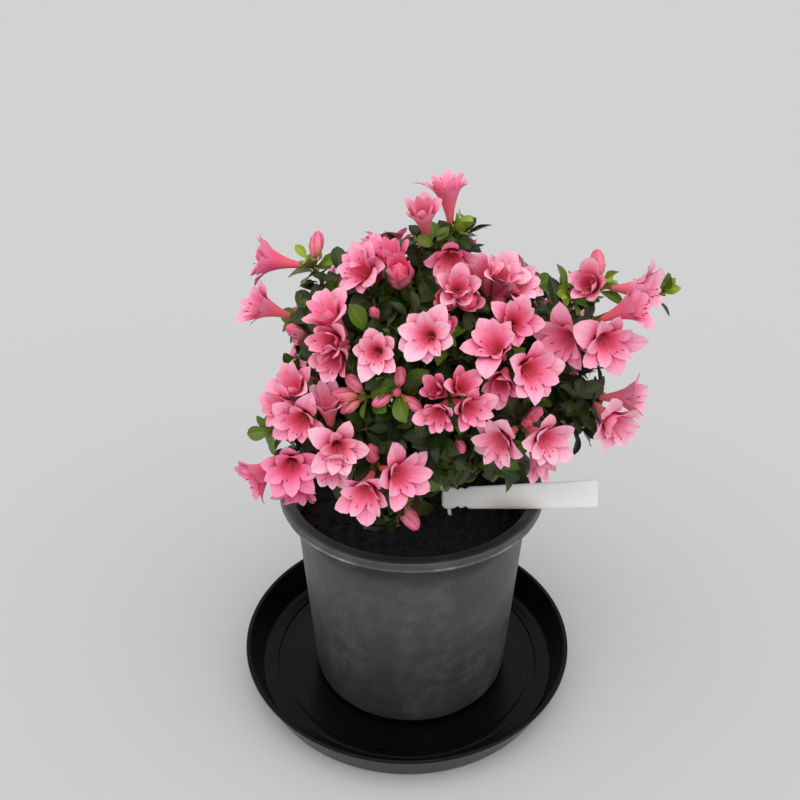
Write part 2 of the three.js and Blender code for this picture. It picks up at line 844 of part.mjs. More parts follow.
function addMesh(name, geometry, finish) {
  const mesh = new THREE.Mesh(geometry, new THREE.MeshStandardMaterial(FINISHES[finish]));
  mesh.name = name;
  group.add(mesh);
  return mesh;
}

// Pot, saucer and soil
const saucer = addMesh("saucer", saucerGeometry(), "saucer");
saucer.position.set(SAUCER.centre[0], SAUCER.centre[1], 0);
const pot = addMesh("pot", potGeometry(), "pot");
const soil = addMesh("soil", soilGeometry(), "soil");

// Trunk, boughs and branches, each cut clear of those before it
const limbs = [];

function addLimb(name, curve, radiusAt, size) {
  const whole = sweep(curve, radiusAt, size.sides, size.steps);
  const solid = wholeBody(limbs.reduce((rest, other) => rest.subtract(other.grown), whole));
  const limb = { curve, solid, grown: sweep(curve, radiusAt, size.sides, size.steps, GAP) };
  limbs.push(limb);
  addMesh(name, geometryOf(solid), "bark");
  return limb;
}

const trunk = addLimb("trunk", trunkCurve(), trunkRadius, TRUNK);

function growLimb(name, root, spray, size) {
  const tip = root.clone().lerp(sprayMiddle(spray), size.end);
  return addLimb(name, limbCurve(root, tip), taper(size), size);
}

for (const bough of BOUGHS) {
  const [lead, ...rest] = bough.sprays;
  const root = trunk.curve.getPointAt(bough.leaves);
  lead.limb = growLimb(`bough_${bough.name}`, root, lead, BOUGH);
  rest.forEach((spray, k) => {
    const fork = lead.limb.curve.getPointAt(BRANCH_ROOTS[k]);
    spray.limb = growLimb(`branch_${spray.name}`, fork, spray, BRANCH);
  });
}

// Label on the lowest bough
const labelled = BOUGHS.find((bough) => bough.name === "low_right").sprays[0].limb;
const label = labelSolid(labelled);
addMesh("label", geometryOf(label), "label");

// Sprays: all the stems first, then the blooms, then the leaves that there is still room for
const thicket = new Thicket();
limbs.forEach((limb) => thicket.add(limb.solid, limb));
thicket.add(label);
[pot, soil].forEach((mesh) => thicket.add(solidFrom(mesh.geometry)));
const sprays = BOUGHS.flatMap((bough) => bough.sprays).map(
  (spray, index) => new Spray(spray, spray.limb, thicket, drawsFrom(SEED + index)),
);
sprays.forEach((spray) => spray.growTrusses());
sprays.forEach((spray) => spray.growLeaves());
sprays.forEach((spray) => addMesh(`spray_${spray.name}`, geometryOf(spray.body), "spray"));

export default group;
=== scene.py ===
"""Looks of a potted azalea shrub in bloom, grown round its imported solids.

Sizes are in millimetres and angles in degrees, and meshes are made in metres. +Z is up, and the origin
is on the pot's axis, level with the saucer's underside. A bearing is taken from +X towards +Y, and a rise
from the level.
"""

import logging
import math
from dataclasses import dataclass, field
from enum import Enum
from functools import cache
from typing import Any

import bpy
import numpy as np
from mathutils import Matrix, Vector


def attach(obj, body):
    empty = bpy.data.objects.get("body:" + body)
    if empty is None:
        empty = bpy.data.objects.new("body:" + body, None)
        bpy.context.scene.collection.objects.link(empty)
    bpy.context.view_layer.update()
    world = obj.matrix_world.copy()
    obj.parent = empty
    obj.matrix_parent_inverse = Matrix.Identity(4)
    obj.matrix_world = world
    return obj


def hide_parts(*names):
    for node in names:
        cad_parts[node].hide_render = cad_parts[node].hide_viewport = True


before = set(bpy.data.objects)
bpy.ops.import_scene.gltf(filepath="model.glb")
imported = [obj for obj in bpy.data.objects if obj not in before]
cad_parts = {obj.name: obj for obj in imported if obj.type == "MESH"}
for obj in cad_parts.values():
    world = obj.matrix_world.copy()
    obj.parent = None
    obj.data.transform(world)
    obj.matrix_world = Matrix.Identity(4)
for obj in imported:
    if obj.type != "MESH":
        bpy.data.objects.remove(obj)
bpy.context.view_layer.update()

LOG = logging.getLogger("azalea")
Array = np.ndarray
Colour = tuple[int, int, int]
Pair = tuple[float, float]
Triple = tuple[float, float, float]
Floats = tuple[float, ...]
Form = tuple[float, float, int]
Draws = np.random.Generator
Socket = bpy.types.NodeSocket

MM = 0.001
BODY = "root"
CHART = "OFBake"
SEED = 7553
GOLDEN_TURN = math.pi * (3 - math.sqrt(5))
UP = np.array((0.0, 0.0, 1.0))
EAST = np.array((1.0, 0.0, 0.0))
LIGHT_WAY = np.array((0.0, -0.87, 0.493))
STEEP = 0.9
PHOTO_SIDE = 800


class PetalTone(Enum):
    """How deep a bloom's pink is."""

    PALE = "pale"
    ROSE = "rose"
    DEEP = "deep"


class LeafTone(Enum):
    """A leaf's green, from the oldest leaves to the youngest.

    The dark and olive greens, dealt mostly to inner side shoots, are partly painted shade of the crown's
    inside.
    """

    DARK = "dark"
    OLIVE = "olive"
    MID = "mid"
    YOUNG = "young"


# Directions and curves


def unit(way: Array) -> Array:
    """A direction, or several, of length 1."""
    return way / np.linalg.norm(way, axis=-1, keepdims=True)


def heading(bearing: float, rise: float) -> Array:
    """The direction along a bearing round the vertical and a rise above the level, both in degrees."""
    turn, lift = math.radians(bearing), math.radians(rise)
    return np.array((math.cos(lift) * math.cos(turn), math.cos(lift) * math.sin(turn), math.sin(lift)))


def mix(low: Any, high: Any, share: Any) -> Any:
    """What lies between two values."""
    return low + (high - low) * share


def ease(low: float, high: float, value: Any) -> Any:
    """A smooth step from 0 at the low value to 1 at the high one."""
    share = np.clip((value - low) / (high - low), 0, 1)
    return share * share * (3 - 2 * share)


def frame_round(way: Array) -> tuple[Array, Array]:
    """Two directions that are square to a way and to each other.

    Args:
        way: a direction of length 1.

    Returns:
        The direction aside and the one over it.
    """
    reference = UP if abs(way[2]) < STEEP else EAST
    aside = unit(np.cross(reference, way))
    return aside, np.cross(way, aside)


def tipped(way: Array, angle: float, turn: float) -> Array:
    """A direction tipped away from another.

    Args:
        way: the direction to leave.
        angle: how far to tip, in radians.
        turn: which side to tip to, round the way, in radians.

    Returns:
        The tipped direction.
    """
    aside, over = frame_round(way)
    lean = aside * math.cos(turn) + over * math.sin(turn)
    return way * math.cos(angle) + lean * math.sin(angle)


def curve(start: Array, middle: Array, end: Array, share: Any) -> Array:
    """The point at a share of a curve that bends towards a middle point."""
    return (1 - share) ** 2 * start + 2 * share * (1 - share) * middle + share**2 * end


def side_turns(sides: int) -> Array:
    """The turn of each of several even sides."""
    return math.tau * np.arange(sides) / sides


def round_axis(radius: Any, turns: Array, height: Any) -> Array:
    """Points round the vertical axis, from their radius, turn and height."""
    return np.stack(np.broadcast_arrays(radius * np.cos(turns), radius * np.sin(turns), height), axis=-1)


class Bend:
    """A curve of three points, read by its share of length."""

    SAMPLES = 40
    STEP = 0.02

    def __init__(self, start: Array, middle: Array, end: Array) -> None:
        """Samples the curve.

        Args:
            start: where it starts.
            middle: the point that it bends towards.
            end: where it ends.
        """
        share = np.linspace(0, 1, self.SAMPLES)[:, None]
        self.line = curve(start, middle, end, share)
        steps = np.linalg.norm(np.diff(self.line, axis=0), axis=1)
        self.run = np.concatenate(([0.0], np.cumsum(steps)))

    @property
    def length(self) -> float:
        """The curve's length."""
        return float(self.run[-1])

    def points(self, shares: Array) -> Array:
        """The points at several shares of the length."""
        goals = np.asarray(shares) * self.length
        return np.stack([np.interp(goals, self.run, self.line[:, k]) for k in range(3)], axis=-1)

    def at(self, share: float) -> Array:
        """The point at one share of the length."""
        return self.points(np.array([share]))[0]

    def way(self, share: float) -> Array:
        """The direction of travel at one share of the length."""
        near = self.points(np.array([max(0, share - self.STEP), min(1, share + self.STEP)]))
        return unit(near[1] - near[0])


class Ripples:
    """A smooth seeded unevenness, from about -1 to 1."""

    PITCHES = (0.6, 1.7)

    def __init__(self, seed: int, length: float, waves: int = 9) -> None:
        """Draws the waves.

        Args:
            seed: what the draws start from.
            length: the typical length of a wave.
            waves: how many waves are added up.
        """
        draw = np.random.default_rng(seed)
        spin = unit(draw.normal(size=(waves, 3)))
        self.waves = spin * (math.tau / length) * draw.uniform(*self.PITCHES, (waves, 1))
        self.phases = draw.uniform(0, math.tau, waves)

    def at(self, points: Array) -> Array:
        """The unevenness at each of several points."""
        return np.sin(points @ self.waves.T + self.phases).sum(-1) / math.sqrt(len(self.phases))


# Meshes


def grid_faces(rows: int, columns: int, closed: bool = False) -> Array:
    """Quads between rows of points.

    Args:
        rows: how many rows there are.
        columns: how many points a row has.
        closed: whether each row is a ring.

    Returns:
        The corners of each quad.
    """
    numbers = np.arange(rows * columns).reshape(rows, columns)
    if closed:
        numbers = np.concatenate([numbers, numbers[:, :1]], axis=1)
    corners = [numbers[:-1, :-1], numbers[:-1, 1:], numbers[1:, 1:], numbers[1:, :-1]]
    return np.stack(corners, axis=-1).reshape(-1, 4)


@dataclass
class Joined:
    """Shapes of one kind in one mesh, with the chart that their pattern reads if they have one."""

    charted: bool = False
    points: list[Array] = field(default_factory=list)
    faces: list[Array] = field(default_factory=list)
    charts: list[Array] = field(default_factory=list)
    count: int = 0

    def add(self, points: Array, *faces: Array, chart: Array | None = None) -> None:
        """Adds one shape.

        Args:
            points: its points, in any arrangement whose last axis is X, Y and Z.
            faces: arrays of the numbers of the faces' corners.
            chart: each point's place across and along the pattern.
        """
        flat = points.reshape(-1, 3)
        self.points.append(flat)
        self.faces.extend(corners + self.count for corners in faces)
        if self.charted:
            self.charts.append(chart.reshape(-1, 2))
        self.count += len(flat)

    def skin(self, rings: Array, ends: Array, chart: Array | None = None) -> None:
        """Adds a closed skin over rings of points.

        Args:
            rings: the points of each ring.
            ends: the point that closes the first ring, and the one that closes the last.
            chart: each point's place across and along the pattern, the ends' after the rings'.
        """
        count, sides = rings.shape[:2]
        end = count * sides
        here = np.arange(sides)
        beside = np.roll(here, -1)
        top = end - sides
        self.add(
            np.concatenate([rings.reshape(-1, 3), ends]),
            grid_faces(count, sides, closed=True),
            np.stack([np.full(sides, end), beside, here], axis=-1),
            np.stack([np.full(sides, end + 1), top + here, top + beside], axis=-1),
            chart=chart,
        )

    def tube(self, path: Array, radii: Array, sides: int) -> None:
        """Adds a closed tube along a path.

        Args:
            path: the points along its middle.
            radii: the radius at each point, or at each point and side.
            sides: how many sides it has.
        """
        ways = unit(np.gradient(path, axis=0))
        aside = frame_round(ways[0])[0]
        turns = side_turns(sides)
        radii = np.broadcast_to(radii.reshape(len(path), -1), (len(path), sides))
        rings = []
        for centre, way, radius in zip(path, ways, radii):
            aside = unit(aside - way * (aside @ way))
            over = np.cross(way, aside)
            spokes = np.outer(np.cos(turns), aside) + np.outer(np.sin(turns), over)
            rings.append(centre + radius[:, None] * spokes)
        along = np.concatenate([np.repeat(np.linspace(0, 1, len(path)), sides), [0, 1]])
        across = np.concatenate([np.tile(np.arange(sides) / sides, len(path)), [0, 0]])
        self.skin(np.array(rings), path[[0, -1]], np.stack([across, along], axis=-1))

    def lathe(self, profile: Array, segments: int) -> None:
        """Adds a profile of radius and height, turned from axis to axis.

        Args:
            profile: the points of the profile, whose two ends are on the axis.
            segments: how many segments the turn has.
        """
        inner = profile[1:-1]
        ends = np.array([[0, 0, profile[0, 1]], [0, 0, profile[-1, 1]]])
        self.skin(round_axis(inner[:, :1], side_turns(segments), inner[:, 1:]), ends)

    def piece(self, name: str, slot: str, finish: "Finish", nodes: list[str]) -> None:
        """Makes the mesh and sets it in the frame.

        Args:
            name: the piece's name.
            slot: the record's material slot; not used.
            finish: what it is dressed in.
            nodes: the CAD nodes that it stands for.
        """
        mesh = bpy.data.meshes.new(name)
        points = np.concatenate(self.points) * MM
        corners = [face for faces in self.faces for face in faces.tolist()]
        mesh.from_pydata(points.tolist(), [], corners)
        if self.charted:
            order = np.empty(len(mesh.loops), dtype=np.int32)
            mesh.loops.foreach_get("vertex_index", order)
            layer = mesh.uv_layers.new(name=CHART)
            layer.data.foreach_set("uv", np.concatenate(self.charts)[order].ravel())
        mesh.shade_smooth()
        piece = new_object(name, mesh)
        mesh.materials.append(finish.material())
        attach(piece, BODY)
        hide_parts(*nodes)
        triangles = sum(len(face) - 2 for face in corners)
        LOG.info("%s: %d triangles", name, triangles)


def new_object(name: str, data: Any) -> bpy.types.Object:
    """An object, linked to the scene."""
    made = bpy.data.objects.new(name, data)
    bpy.context.scene.collection.objects.link(made)
    return made


def rounded(corners: list[Triple], steps: int = 5) -> Array:
    """A profile with its corners rounded off.

    Args:
        corners: the radius, height and rounding of each corner.
        steps: how many points a rounded corner has.

    Returns:
        The profile's points.
    """
    points = [np.array(corners[0][:2])]
    for before, here, after in zip(corners, corners[1:], corners[2:]):
        middle = np.array(here[:2])
        if here[2] == 0:
            points.append(middle)
            continue
        start = middle + unit(np.array(before[:2]) - middle) * here[2]
        end = middle + unit(np.array(after[:2]) - middle) * here[2]
        points.extend(curve(start, middle, end, share) for share in np.linspace(0, 1, steps))
    points.append(np.array(corners[-1][:2]))
    return np.array(points, dtype=float)


# Finishes


def paint(colour: Colour) -> tuple[float, float, float, float]:
    """A screen colour as the shader's light values."""
    shares = [channel / 255 for channel in colour]
    light = [s / 12.92 if s <= 0.04045 else ((s + 0.055) / 1.055) ** 2.4 for s in shares]
    return (*light, 1.0)


class Graph:
    """Lays out the nodes of one tree."""

    MIX_FACTOR, MIX_FIRST, MIX_SECOND, MIX_RESULT = 0, 6, 7, 2

    def __init__(self, tree: bpy.types.NodeTree) -> None:
        """Keeps the tree to lay out."""
        self.tree = tree

    def add(self, kind: str, inputs: dict[Any, Any] | None = None, **settings: Any) -> bpy.types.Node:
        """Adds a node.

        Args:
            kind: the node's type.
            inputs: what its sockets hold, or the sockets that feed them.
            settings: the node's own settings.

        Returns:
            The node.
        """
        node = self.tree.nodes.new(kind)
        for name, value in settings.items():
            setattr(node, name, value)
        for name, value in (inputs or {}).items():
            self.put(node, name, value)
        return node

    def put(self, node: bpy.types.Node, name: Any, value: Any) -> None:
        """Links a socket to a node's input, or sets a value there.

        Args:
            node: the node.
            name: the input's name or number.
            value: the socket or the value.
        """
        if isinstance(value, Socket):
            self.tree.links.new(value, node.inputs[name])
        else:
            node.inputs[name].default_value = value

    def math(self, operation: str, *values: Any, clamp: bool = False) -> Socket:
        """The result of a sum on one to three values."""
        inputs = dict(enumerate(values))
        return self.add("ShaderNodeMath", inputs, operation=operation, use_clamp=clamp).outputs[0]

    def rest(self, share: Any) -> Socket:
        """What a share leaves of 1."""
        return self.math("SUBTRACT", 1.0, share)

    def vector(self, operation: str, *values: Any) -> Any:
        """The outputs of a sum on one or two vectors."""
        return self.add("ShaderNodeVectorMath", dict(enumerate(values)), operation=operation).outputs

    def place(self) -> Socket:
        """A surface's place on its object."""
        return self.add("ShaderNodeTexCoord").outputs["Object"]

    def blend(self, share: Any, first: Any, second: Any) -> Socket:
        """A colour between two others."""
        inputs = {self.MIX_FACTOR: share, self.MIX_FIRST: first, self.MIX_SECOND: second}
        return self.add("ShaderNodeMix", inputs, data_type="RGBA").outputs[self.MIX_RESULT]

    def ramp(self, share: Any, stops: list[tuple[float, Colour]]) -> Socket:
        """A colour that runs through several stops.

        Args:
            share: the socket that says how far along the stops to read.
            stops: the place and the colour of each stop.

        Returns:
            The colour's socket.
        """
        node = self.add("ShaderNodeValToRGB", {"Fac": share})
        elements = node.color_ramp.elements
        while len(elements) < len(stops):
            elements.new(0.5)
        for element, (place, colour) in zip(elements, stops):
            element.position = place
            element.color = paint(colour)
        return node.outputs["Color"]

    def span(self, value: Any, low: float, high: float) -> Socket:
        """A share from 0 to 1 between two values."""
        inputs = {"Value": value, "From Min": low, "From Max": high}
        return self.add("ShaderNodeMapRange", inputs, interpolation_type="SMOOTHSTEP").outputs["Result"]


def new_group(name: str, inputs: dict[str, float], outputs: list[str]) -> tuple[Graph, Any, Any]:
    """Starts a shader node group whose sockets are values.

    Args:
        name: the group's name.
        inputs: each input's name and first value.
        outputs: each output's name.

    Returns:
        The group's graph, its input node and its output node.
    """
    tree = bpy.data.node_groups.new(name, "ShaderNodeTree")
    for label, value in inputs.items():
        socket = tree.interface.new_socket(name=label, in_out="INPUT", socket_type="NodeSocketFloat")
        socket.default_value = value
    for label in outputs:
        tree.interface.new_socket(name=label, in_out="OUTPUT", socket_type="NodeSocketFloat")
    graph = Graph(tree)
    return graph, graph.add("NodeGroupInput"), graph.add("NodeGroupOutput")


@cache
def mottle_group() -> bpy.types.NodeTree:
    """Soft patches and fine specks that cover a surface without a seam.

    Returns:
        The group, with a mask of patches and one of specks.
    """
    inputs = {"Patch Scale": 60.0, "Speck Scale": 900.0, "Stretch": 1.0}
    graph, taken, given = new_group("Mottle", inputs, ["Patches", "Specks"])
    shape = graph.add("ShaderNodeCombineXYZ", {"X": 1.0, "Y": 1.0, "Z": taken.outputs["Stretch"]}).outputs[0]
    stretched = graph.vector("MULTIPLY", graph.place(), shape)[0]
    for label, scale, detail in (("Patches", "Patch Scale", 4.0), ("Specks", "Speck Scale", 2.0)):
        noise = graph.add(
            "ShaderNodeTexNoise",
            {"Vector": stretched, "Scale": taken.outputs[scale], "Detail": detail, "Roughness": 0.6},
        )
        graph.put(given, label, graph.span(noise.outputs[0], 0.3, 0.7))
    return graph.tree


@cache
def vein_group() -> bpy.types.NodeTree:
    """Veins that run along a blade and lean out from its middle or wind round it, with the middle itself.

    Wound round a bud, the lines lie on the folds of its furled petals and are painted shade there.

    Returns:
        The group, with masks of the veins, the midrib and the edge, and the place along the blade.
    """
    inputs = {"Count": 8.0, "Lean": 0.0, "Wind": 0.0, "Sharpness": 6.0, "Midrib": 0.05}
    graph, taken, given = new_group("Veins", inputs, ["Veins", "Midrib", "Edge", "Along"])
    chart = graph.add("ShaderNodeUVMap", uv_map=CHART).outputs["UV"]
    place = graph.add("ShaderNodeSeparateXYZ", {"Vector": chart}).outputs
    aside = graph.math("ABSOLUTE", graph.math("MULTIPLY_ADD", place["X"], 2.0, -1.0))
    across = graph.math("MULTIPLY", place["X"], graph.rest(taken.outputs["Lean"]))
    slant = -0.45
    out = graph.math("MULTIPLY_ADD", aside, slant, place["Y"])
    leaning = graph.math("MULTIPLY_ADD", out, taken.outputs["Lean"], across)
    wound = graph.math("MULTIPLY_ADD", place["Y"], taken.outputs["Wind"], leaning)
    phase = graph.math("MULTIPLY", graph.math("MULTIPLY", wound, taken.outputs["Count"]), math.tau)
    wave = graph.math("SINE", phase)
    crest = graph.math("MULTIPLY_ADD", wave, 0.5, 0.5)
    veins = graph.math("POWER", crest, taken.outputs["Sharpness"])
    rib = graph.math("SUBTRACT", 1.0, graph.math("DIVIDE", aside, taken.outputs["Midrib"]), clamp=True)
    edge = graph.math("POWER", aside, 3.0)
    for label, socket in (("Veins", veins), ("Midrib", rib), ("Edge", edge), ("Along", place["Y"])):
        graph.put(given, label, socket)
    return graph.tree


class Surface(Graph):
    """Lays out the nodes of one material round its shader."""

    def __init__(self, material: bpy.types.Material) -> None:
        """Takes the material's tree and its shader."""
        super().__init__(material.node_tree)
        self.shader = material.node_tree.nodes["Principled BSDF"]

    def feed(self, **inputs: Any) -> None:
        """Links or sets the shader's inputs, named with an underscore for a space."""
        for name, value in inputs.items():
            self.put(self.shader, name.replace("_", " "), value)

    def mottle(self, scales: Pair, stretch: float) -> tuple[Socket, Socket]:
        """A mottle's patches and specks, from the scale of each and the mottle's stretch."""
        inputs = {"Patch Scale": scales[0], "Speck Scale": scales[1], "Stretch": stretch}
        node = self.add("ShaderNodeGroup", inputs, node_tree=mottle_group())
        return node.outputs["Patches"], node.outputs["Specks"]

    def bump(self, height: Any, strength: float, depth: float) -> Socket:
        """A normal roughened by a height, whose depth is in millimetres."""
        inputs = {"Height": height, "Strength": strength, "Distance": depth * MM}
        return self.add("ShaderNodeBump", inputs).outputs["Normal"]


@dataclass(frozen=True)
class Finish:
    """A surface's colours, and how its light behaves."""

    name: str
    roughness: float = 0.5

    def material(self) -> bpy.types.Material:
        """The finish as a material, made once.

        Returns:
            The material.
        """
        made = bpy.data.materials.get(self.name)
        if made:
            return made
        made = bpy.data.materials.new(self.name)
        made.use_nodes = True
        surface = Surface(made)
        surface.feed(Roughness=self.roughness)
        self.dress(surface)
        return made

    def dress(self, surface: Surface) -> None:
        """Feeds the shader. Each kind of finish has its own way."""
        raise NotImplementedError


@dataclass(frozen=True)
class PlasticFinish(Finish):
    """Moulded plastic with handling marks."""

    body: Colour = (70, 72, 74)
    scuff: Colour = (150, 152, 152)
    grime: Colour = (30, 30, 31)
    scuffs: float = 0.4
    stretch: float = 4.0
    gloss: float = 0.5
    streak_scales: Pair = (95.0, 420.0)
    cloud_scales: Pair = (26.0, 1500.0)
    cloud_stretch: float = 0.6
    fine_scuffs: float = 0.6
    dullness: float = 0.35
    wear: float = 0.25
    grain: Pair = (0.12, 0.1)

    def mark(self, surface: Surface, colour: Socket) -> Socket:
        """The colour with any further marks, real or painted shade, over it."""
        return colour

    def dress(self, surface: Surface) -> None:
        """Lays streaky scuffs and grime over the body colour.

        Args:
            surface: the material's nodes.
        """
        streaks, streak_specks = surface.mottle(self.streak_scales, self.stretch)
        clouds, cloud_specks = surface.mottle(self.cloud_scales, self.cloud_stretch)
        worn = surface.math("MULTIPLY", streaks, clouds)
        fine = surface.math("MULTIPLY", streak_specks, worn)
        marks = surface.math("MULTIPLY_ADD", fine, self.fine_scuffs, worn)
        share = surface.math("MULTIPLY", marks, self.scuffs, clamp=True)
        dull = surface.math("MULTIPLY", surface.rest(clouds), self.dullness)
        dirty = surface.blend(dull, paint(self.body), paint(self.grime))
        colour = self.mark(surface, surface.blend(share, dirty, paint(self.scuff)))
        rough = surface.math("MULTIPLY_ADD", share, self.wear, self.roughness, clamp=True)
        normal = surface.bump(cloud_specks, *self.grain)
        surface.feed(Base_Color=colour, Roughness=rough, Normal=normal, Specular_IOR_Level=self.gloss)


@dataclass(frozen=True)
class RimShadedFinish(PlasticFinish):
    """Plastic with painted shade on its rim's upper face and the top of its inner wall."""

    # The painted shade's colour and strength, and the heights and radii where it fades in.
    top: Colour = (20, 20, 21)
    tops: float = 0.75
    heights: Pair = (139.5, 141.5)
    radii: Pair = (77.4, 79.2)

    def mark(self, surface: Surface, colour: Socket) -> Socket:
        """Paints shade over the rim's upper face and the top of its inner wall.

        Args:
            surface: the material's nodes.
            colour: the colour elsewhere.

        Returns:
            The colour with the painted shade.
        """
        place = surface.place()
        radius = surface.vector("LENGTH", surface.vector("MULTIPLY", place, (1.0, 1.0, 0.0))[0])["Value"]
        height = surface.add("ShaderNodeSeparateXYZ", {"Vector": place}).outputs["Z"]
        high = surface.span(height, *(value * MM for value in self.heights))
        within = surface.rest(surface.span(radius, *(value * MM for value in self.radii)))
        share = surface.math("MULTIPLY", surface.math("MULTIPLY", high, within), self.tops)
        return surface.blend(share, colour, paint(self.top))


@dataclass(frozen=True)
class StainedFinish(PlasticFinish):
    """Plastic with a faint stain round one place."""

    stain: Colour = (150, 112, 84)
    stains: float = 0.6
    middle: Triple = (58.0, -29.0, 142.0)
    half: Triple = (26.0, 30.0, 11.0)
    fade: Pair = (0.1, 1.0)

    def mark(self, surface: Surface, colour: Socket) -> Socket:
        """Blends the stain in.

        Args:
            surface: the material's nodes.
            colour: the colour below the stain.

        Returns:
            The stained colour.
        """
        away = surface.vector("SUBTRACT", surface.place(), [value * MM for value in self.middle])[0]
        scaled = surface.vector("MULTIPLY", away, [1 / (value * MM) for value in self.half])[0]
        distance = surface.vector("LENGTH", scaled)["Value"]
        near = surface.rest(surface.span(distance, *self.fade))
        return surface.blend(surface.math("MULTIPLY", near, self.stains), colour, paint(self.stain))


@dataclass(frozen=True)
class EarthFinish(Finish):
    """Damp potting compost, or bark."""

    deep: Colour = (6, 5, 4)
    body: Colour = (19, 16, 13)
    fleck: Colour = (64, 50, 38)
    patch_scale: float = 120.0
    speck_scale: float = 700.0
    stretch: float = 1.0
    flecks: float = 0.3
    relief: float = 0.6
    sparseness: float = 3.0
    grain: float = 0.5
    strength: float = 0.5
    sheen: float = 0.15

    def dress(self, surface: Surface) -> None:
        """Mottles the body colour and scatters flecks over it.

        Args:
            surface: the material's nodes.
        """
        patches, specks = surface.mottle((self.patch_scale, self.speck_scale), self.stretch)
        colour = surface.blend(patches, paint(self.deep), paint(self.body))
        bright = surface.math("MULTIPLY", surface.math("POWER", specks, self.sparseness), self.flecks)
        colour = surface.blend(bright, colour, paint(self.fleck))
        height = surface.math("MULTIPLY_ADD", specks, self.grain, patches)
        normal = surface.bump(height, self.strength, self.relief)
        rough = surface.math("MULTIPLY_ADD", specks, -self.sheen, self.roughness)
        surface.feed(Base_Color=colour, Roughness=rough, Normal=normal)


@dataclass(frozen=True)
class BladeFinish(Finish):
    """A petal, leaf, bud or thread, coloured from its root to its tip."""

    stops: tuple[tuple[float, Colour], ...] = ()
    vein: Colour = (0, 0, 0)
    veins: float = 0.2
    count: float = 8.0
    lean: float = 0.0
    wind: float = 0.0
    rib: Colour = (0, 0, 0)
    ribs: float = 0.0
    rim: Colour = (255, 255, 255)
    rims: float = 0.0
    relief: float = 0.25
    glow: float = 0.0
    gloss: float = 0.5
    sharpness: float = 5.0
    rib_width: float = 0.09
    vein_end: Pair = (0.45, 0.95)
    rim_start: Pair = (0.35, 0.8)
    strength: float = 0.4
    glow_spread: Triple = (1.0, 0.4, 0.4)
    glow_depth: float = 2.0

    def dress(self, surface: Surface) -> None:
        """Runs the colours along the blade, and lays veins, midrib and edge over them.

        Args:
            surface: the material's nodes.
        """
        values = {"Count": self.count, "Lean": self.lean, "Wind": self.wind}
        values |= {"Sharpness": self.sharpness, "Midrib": self.rib_width}
        blade = surface.add("ShaderNodeGroup", values, node_tree=vein_group())
        along = blade.outputs["Along"]
        colour = surface.ramp(along, list(self.stops))
        straight = self.lean == 0 and self.wind == 0
        fade = surface.rest(surface.span(along, *self.vein_end)) if straight else 1.0
        # Darker lines along the veins; on the bud skin they wind with its folds and are painted shade in the
        # creases.
        lines = surface.math("MULTIPLY", surface.math("MULTIPLY", blade.outputs["Veins"], fade), self.veins)
        colour = surface.blend(lines, colour, paint(self.vein))
        rib = surface.math("MULTIPLY", blade.outputs["Midrib"], self.ribs)
        colour = surface.blend(rib, colour, paint(self.rib))
        open_part = surface.span(along, *self.rim_start)
        rim = surface.math("MULTIPLY", surface.math("MULTIPLY", blade.outputs["Edge"], open_part), self.rims)
        colour = surface.blend(rim, colour, paint(self.rim))
        height = surface.math("ADD", blade.outputs["Veins"], blade.outputs["Midrib"])
        normal = surface.bump(height, self.strength, -self.relief)
        surface.feed(Base_Color=colour, Normal=normal, Specular_IOR_Level=self.gloss)
        surface.feed(Subsurface_Weight=self.glow, Subsurface_Radius=self.glow_spread)
        surface.feed(Subsurface_Scale=self.glow_depth * MM)


@dataclass(frozen=True)
class FloorFinish(Finish):
    """Plain pale studio floor."""

    body: Colour = (195, 195, 196)
    gloss: float = 0.1

    def dress(self, surface: Surface) -> None:
        """Sets the plain colour."""
        surface.feed(Base_Color=paint(self.body), Specular_IOR_Level=self.gloss)


# The pot's plastic, with painted shade on its rim's upper face and the top of its inner wall.
POT_PLASTIC = RimShadedFinish("pot_plastic", 0.42, (54, 56, 58), (124, 127, 129), (42, 43, 44), 0.16, 1.2, 0.65)
# The lip bead's paler, heavily scuffed plastic: partly wear, partly painted highlight along the lip's lower
# edge.
LIP_WEAR_AND_HIGHLIGHT = PlasticFinish("lip_wear_and_painted_highlight", 0.5, (72, 74, 76), (150, 153, 156), (52, 53, 54), 0.8, 0.6)
SAUCER_PLASTIC = PlasticFinish("saucer_plastic", 0.24, (4, 4, 4), (18, 18, 19), (3, 3, 3), 0.15, 0.8, 0.15)
LABEL_PLASTIC = StainedFinish(
    "label_plastic", 0.4, (240, 241, 240), (250, 250, 249), (218, 217, 211), 0.3, 0.5
)
COMPOST = EarthFinish("compost", 0.95, (3, 3, 2), (11, 9, 8), (40, 32, 24), flecks=0.2)
BARK = EarthFinish(
    "bark", 0.85, (52, 33, 25), (104, 70, 52), (150, 118, 92), 160.0, 800.0, 0.35, flecks=0.5, relief=0.5
)
TWIG_BARK = EarthFinish(
    "twig_bark", 0.75, (72, 44, 30), (118, 78, 50), (140, 120, 70), 200.0, 900.0, 0.4, flecks=0.35, relief=0.3
)

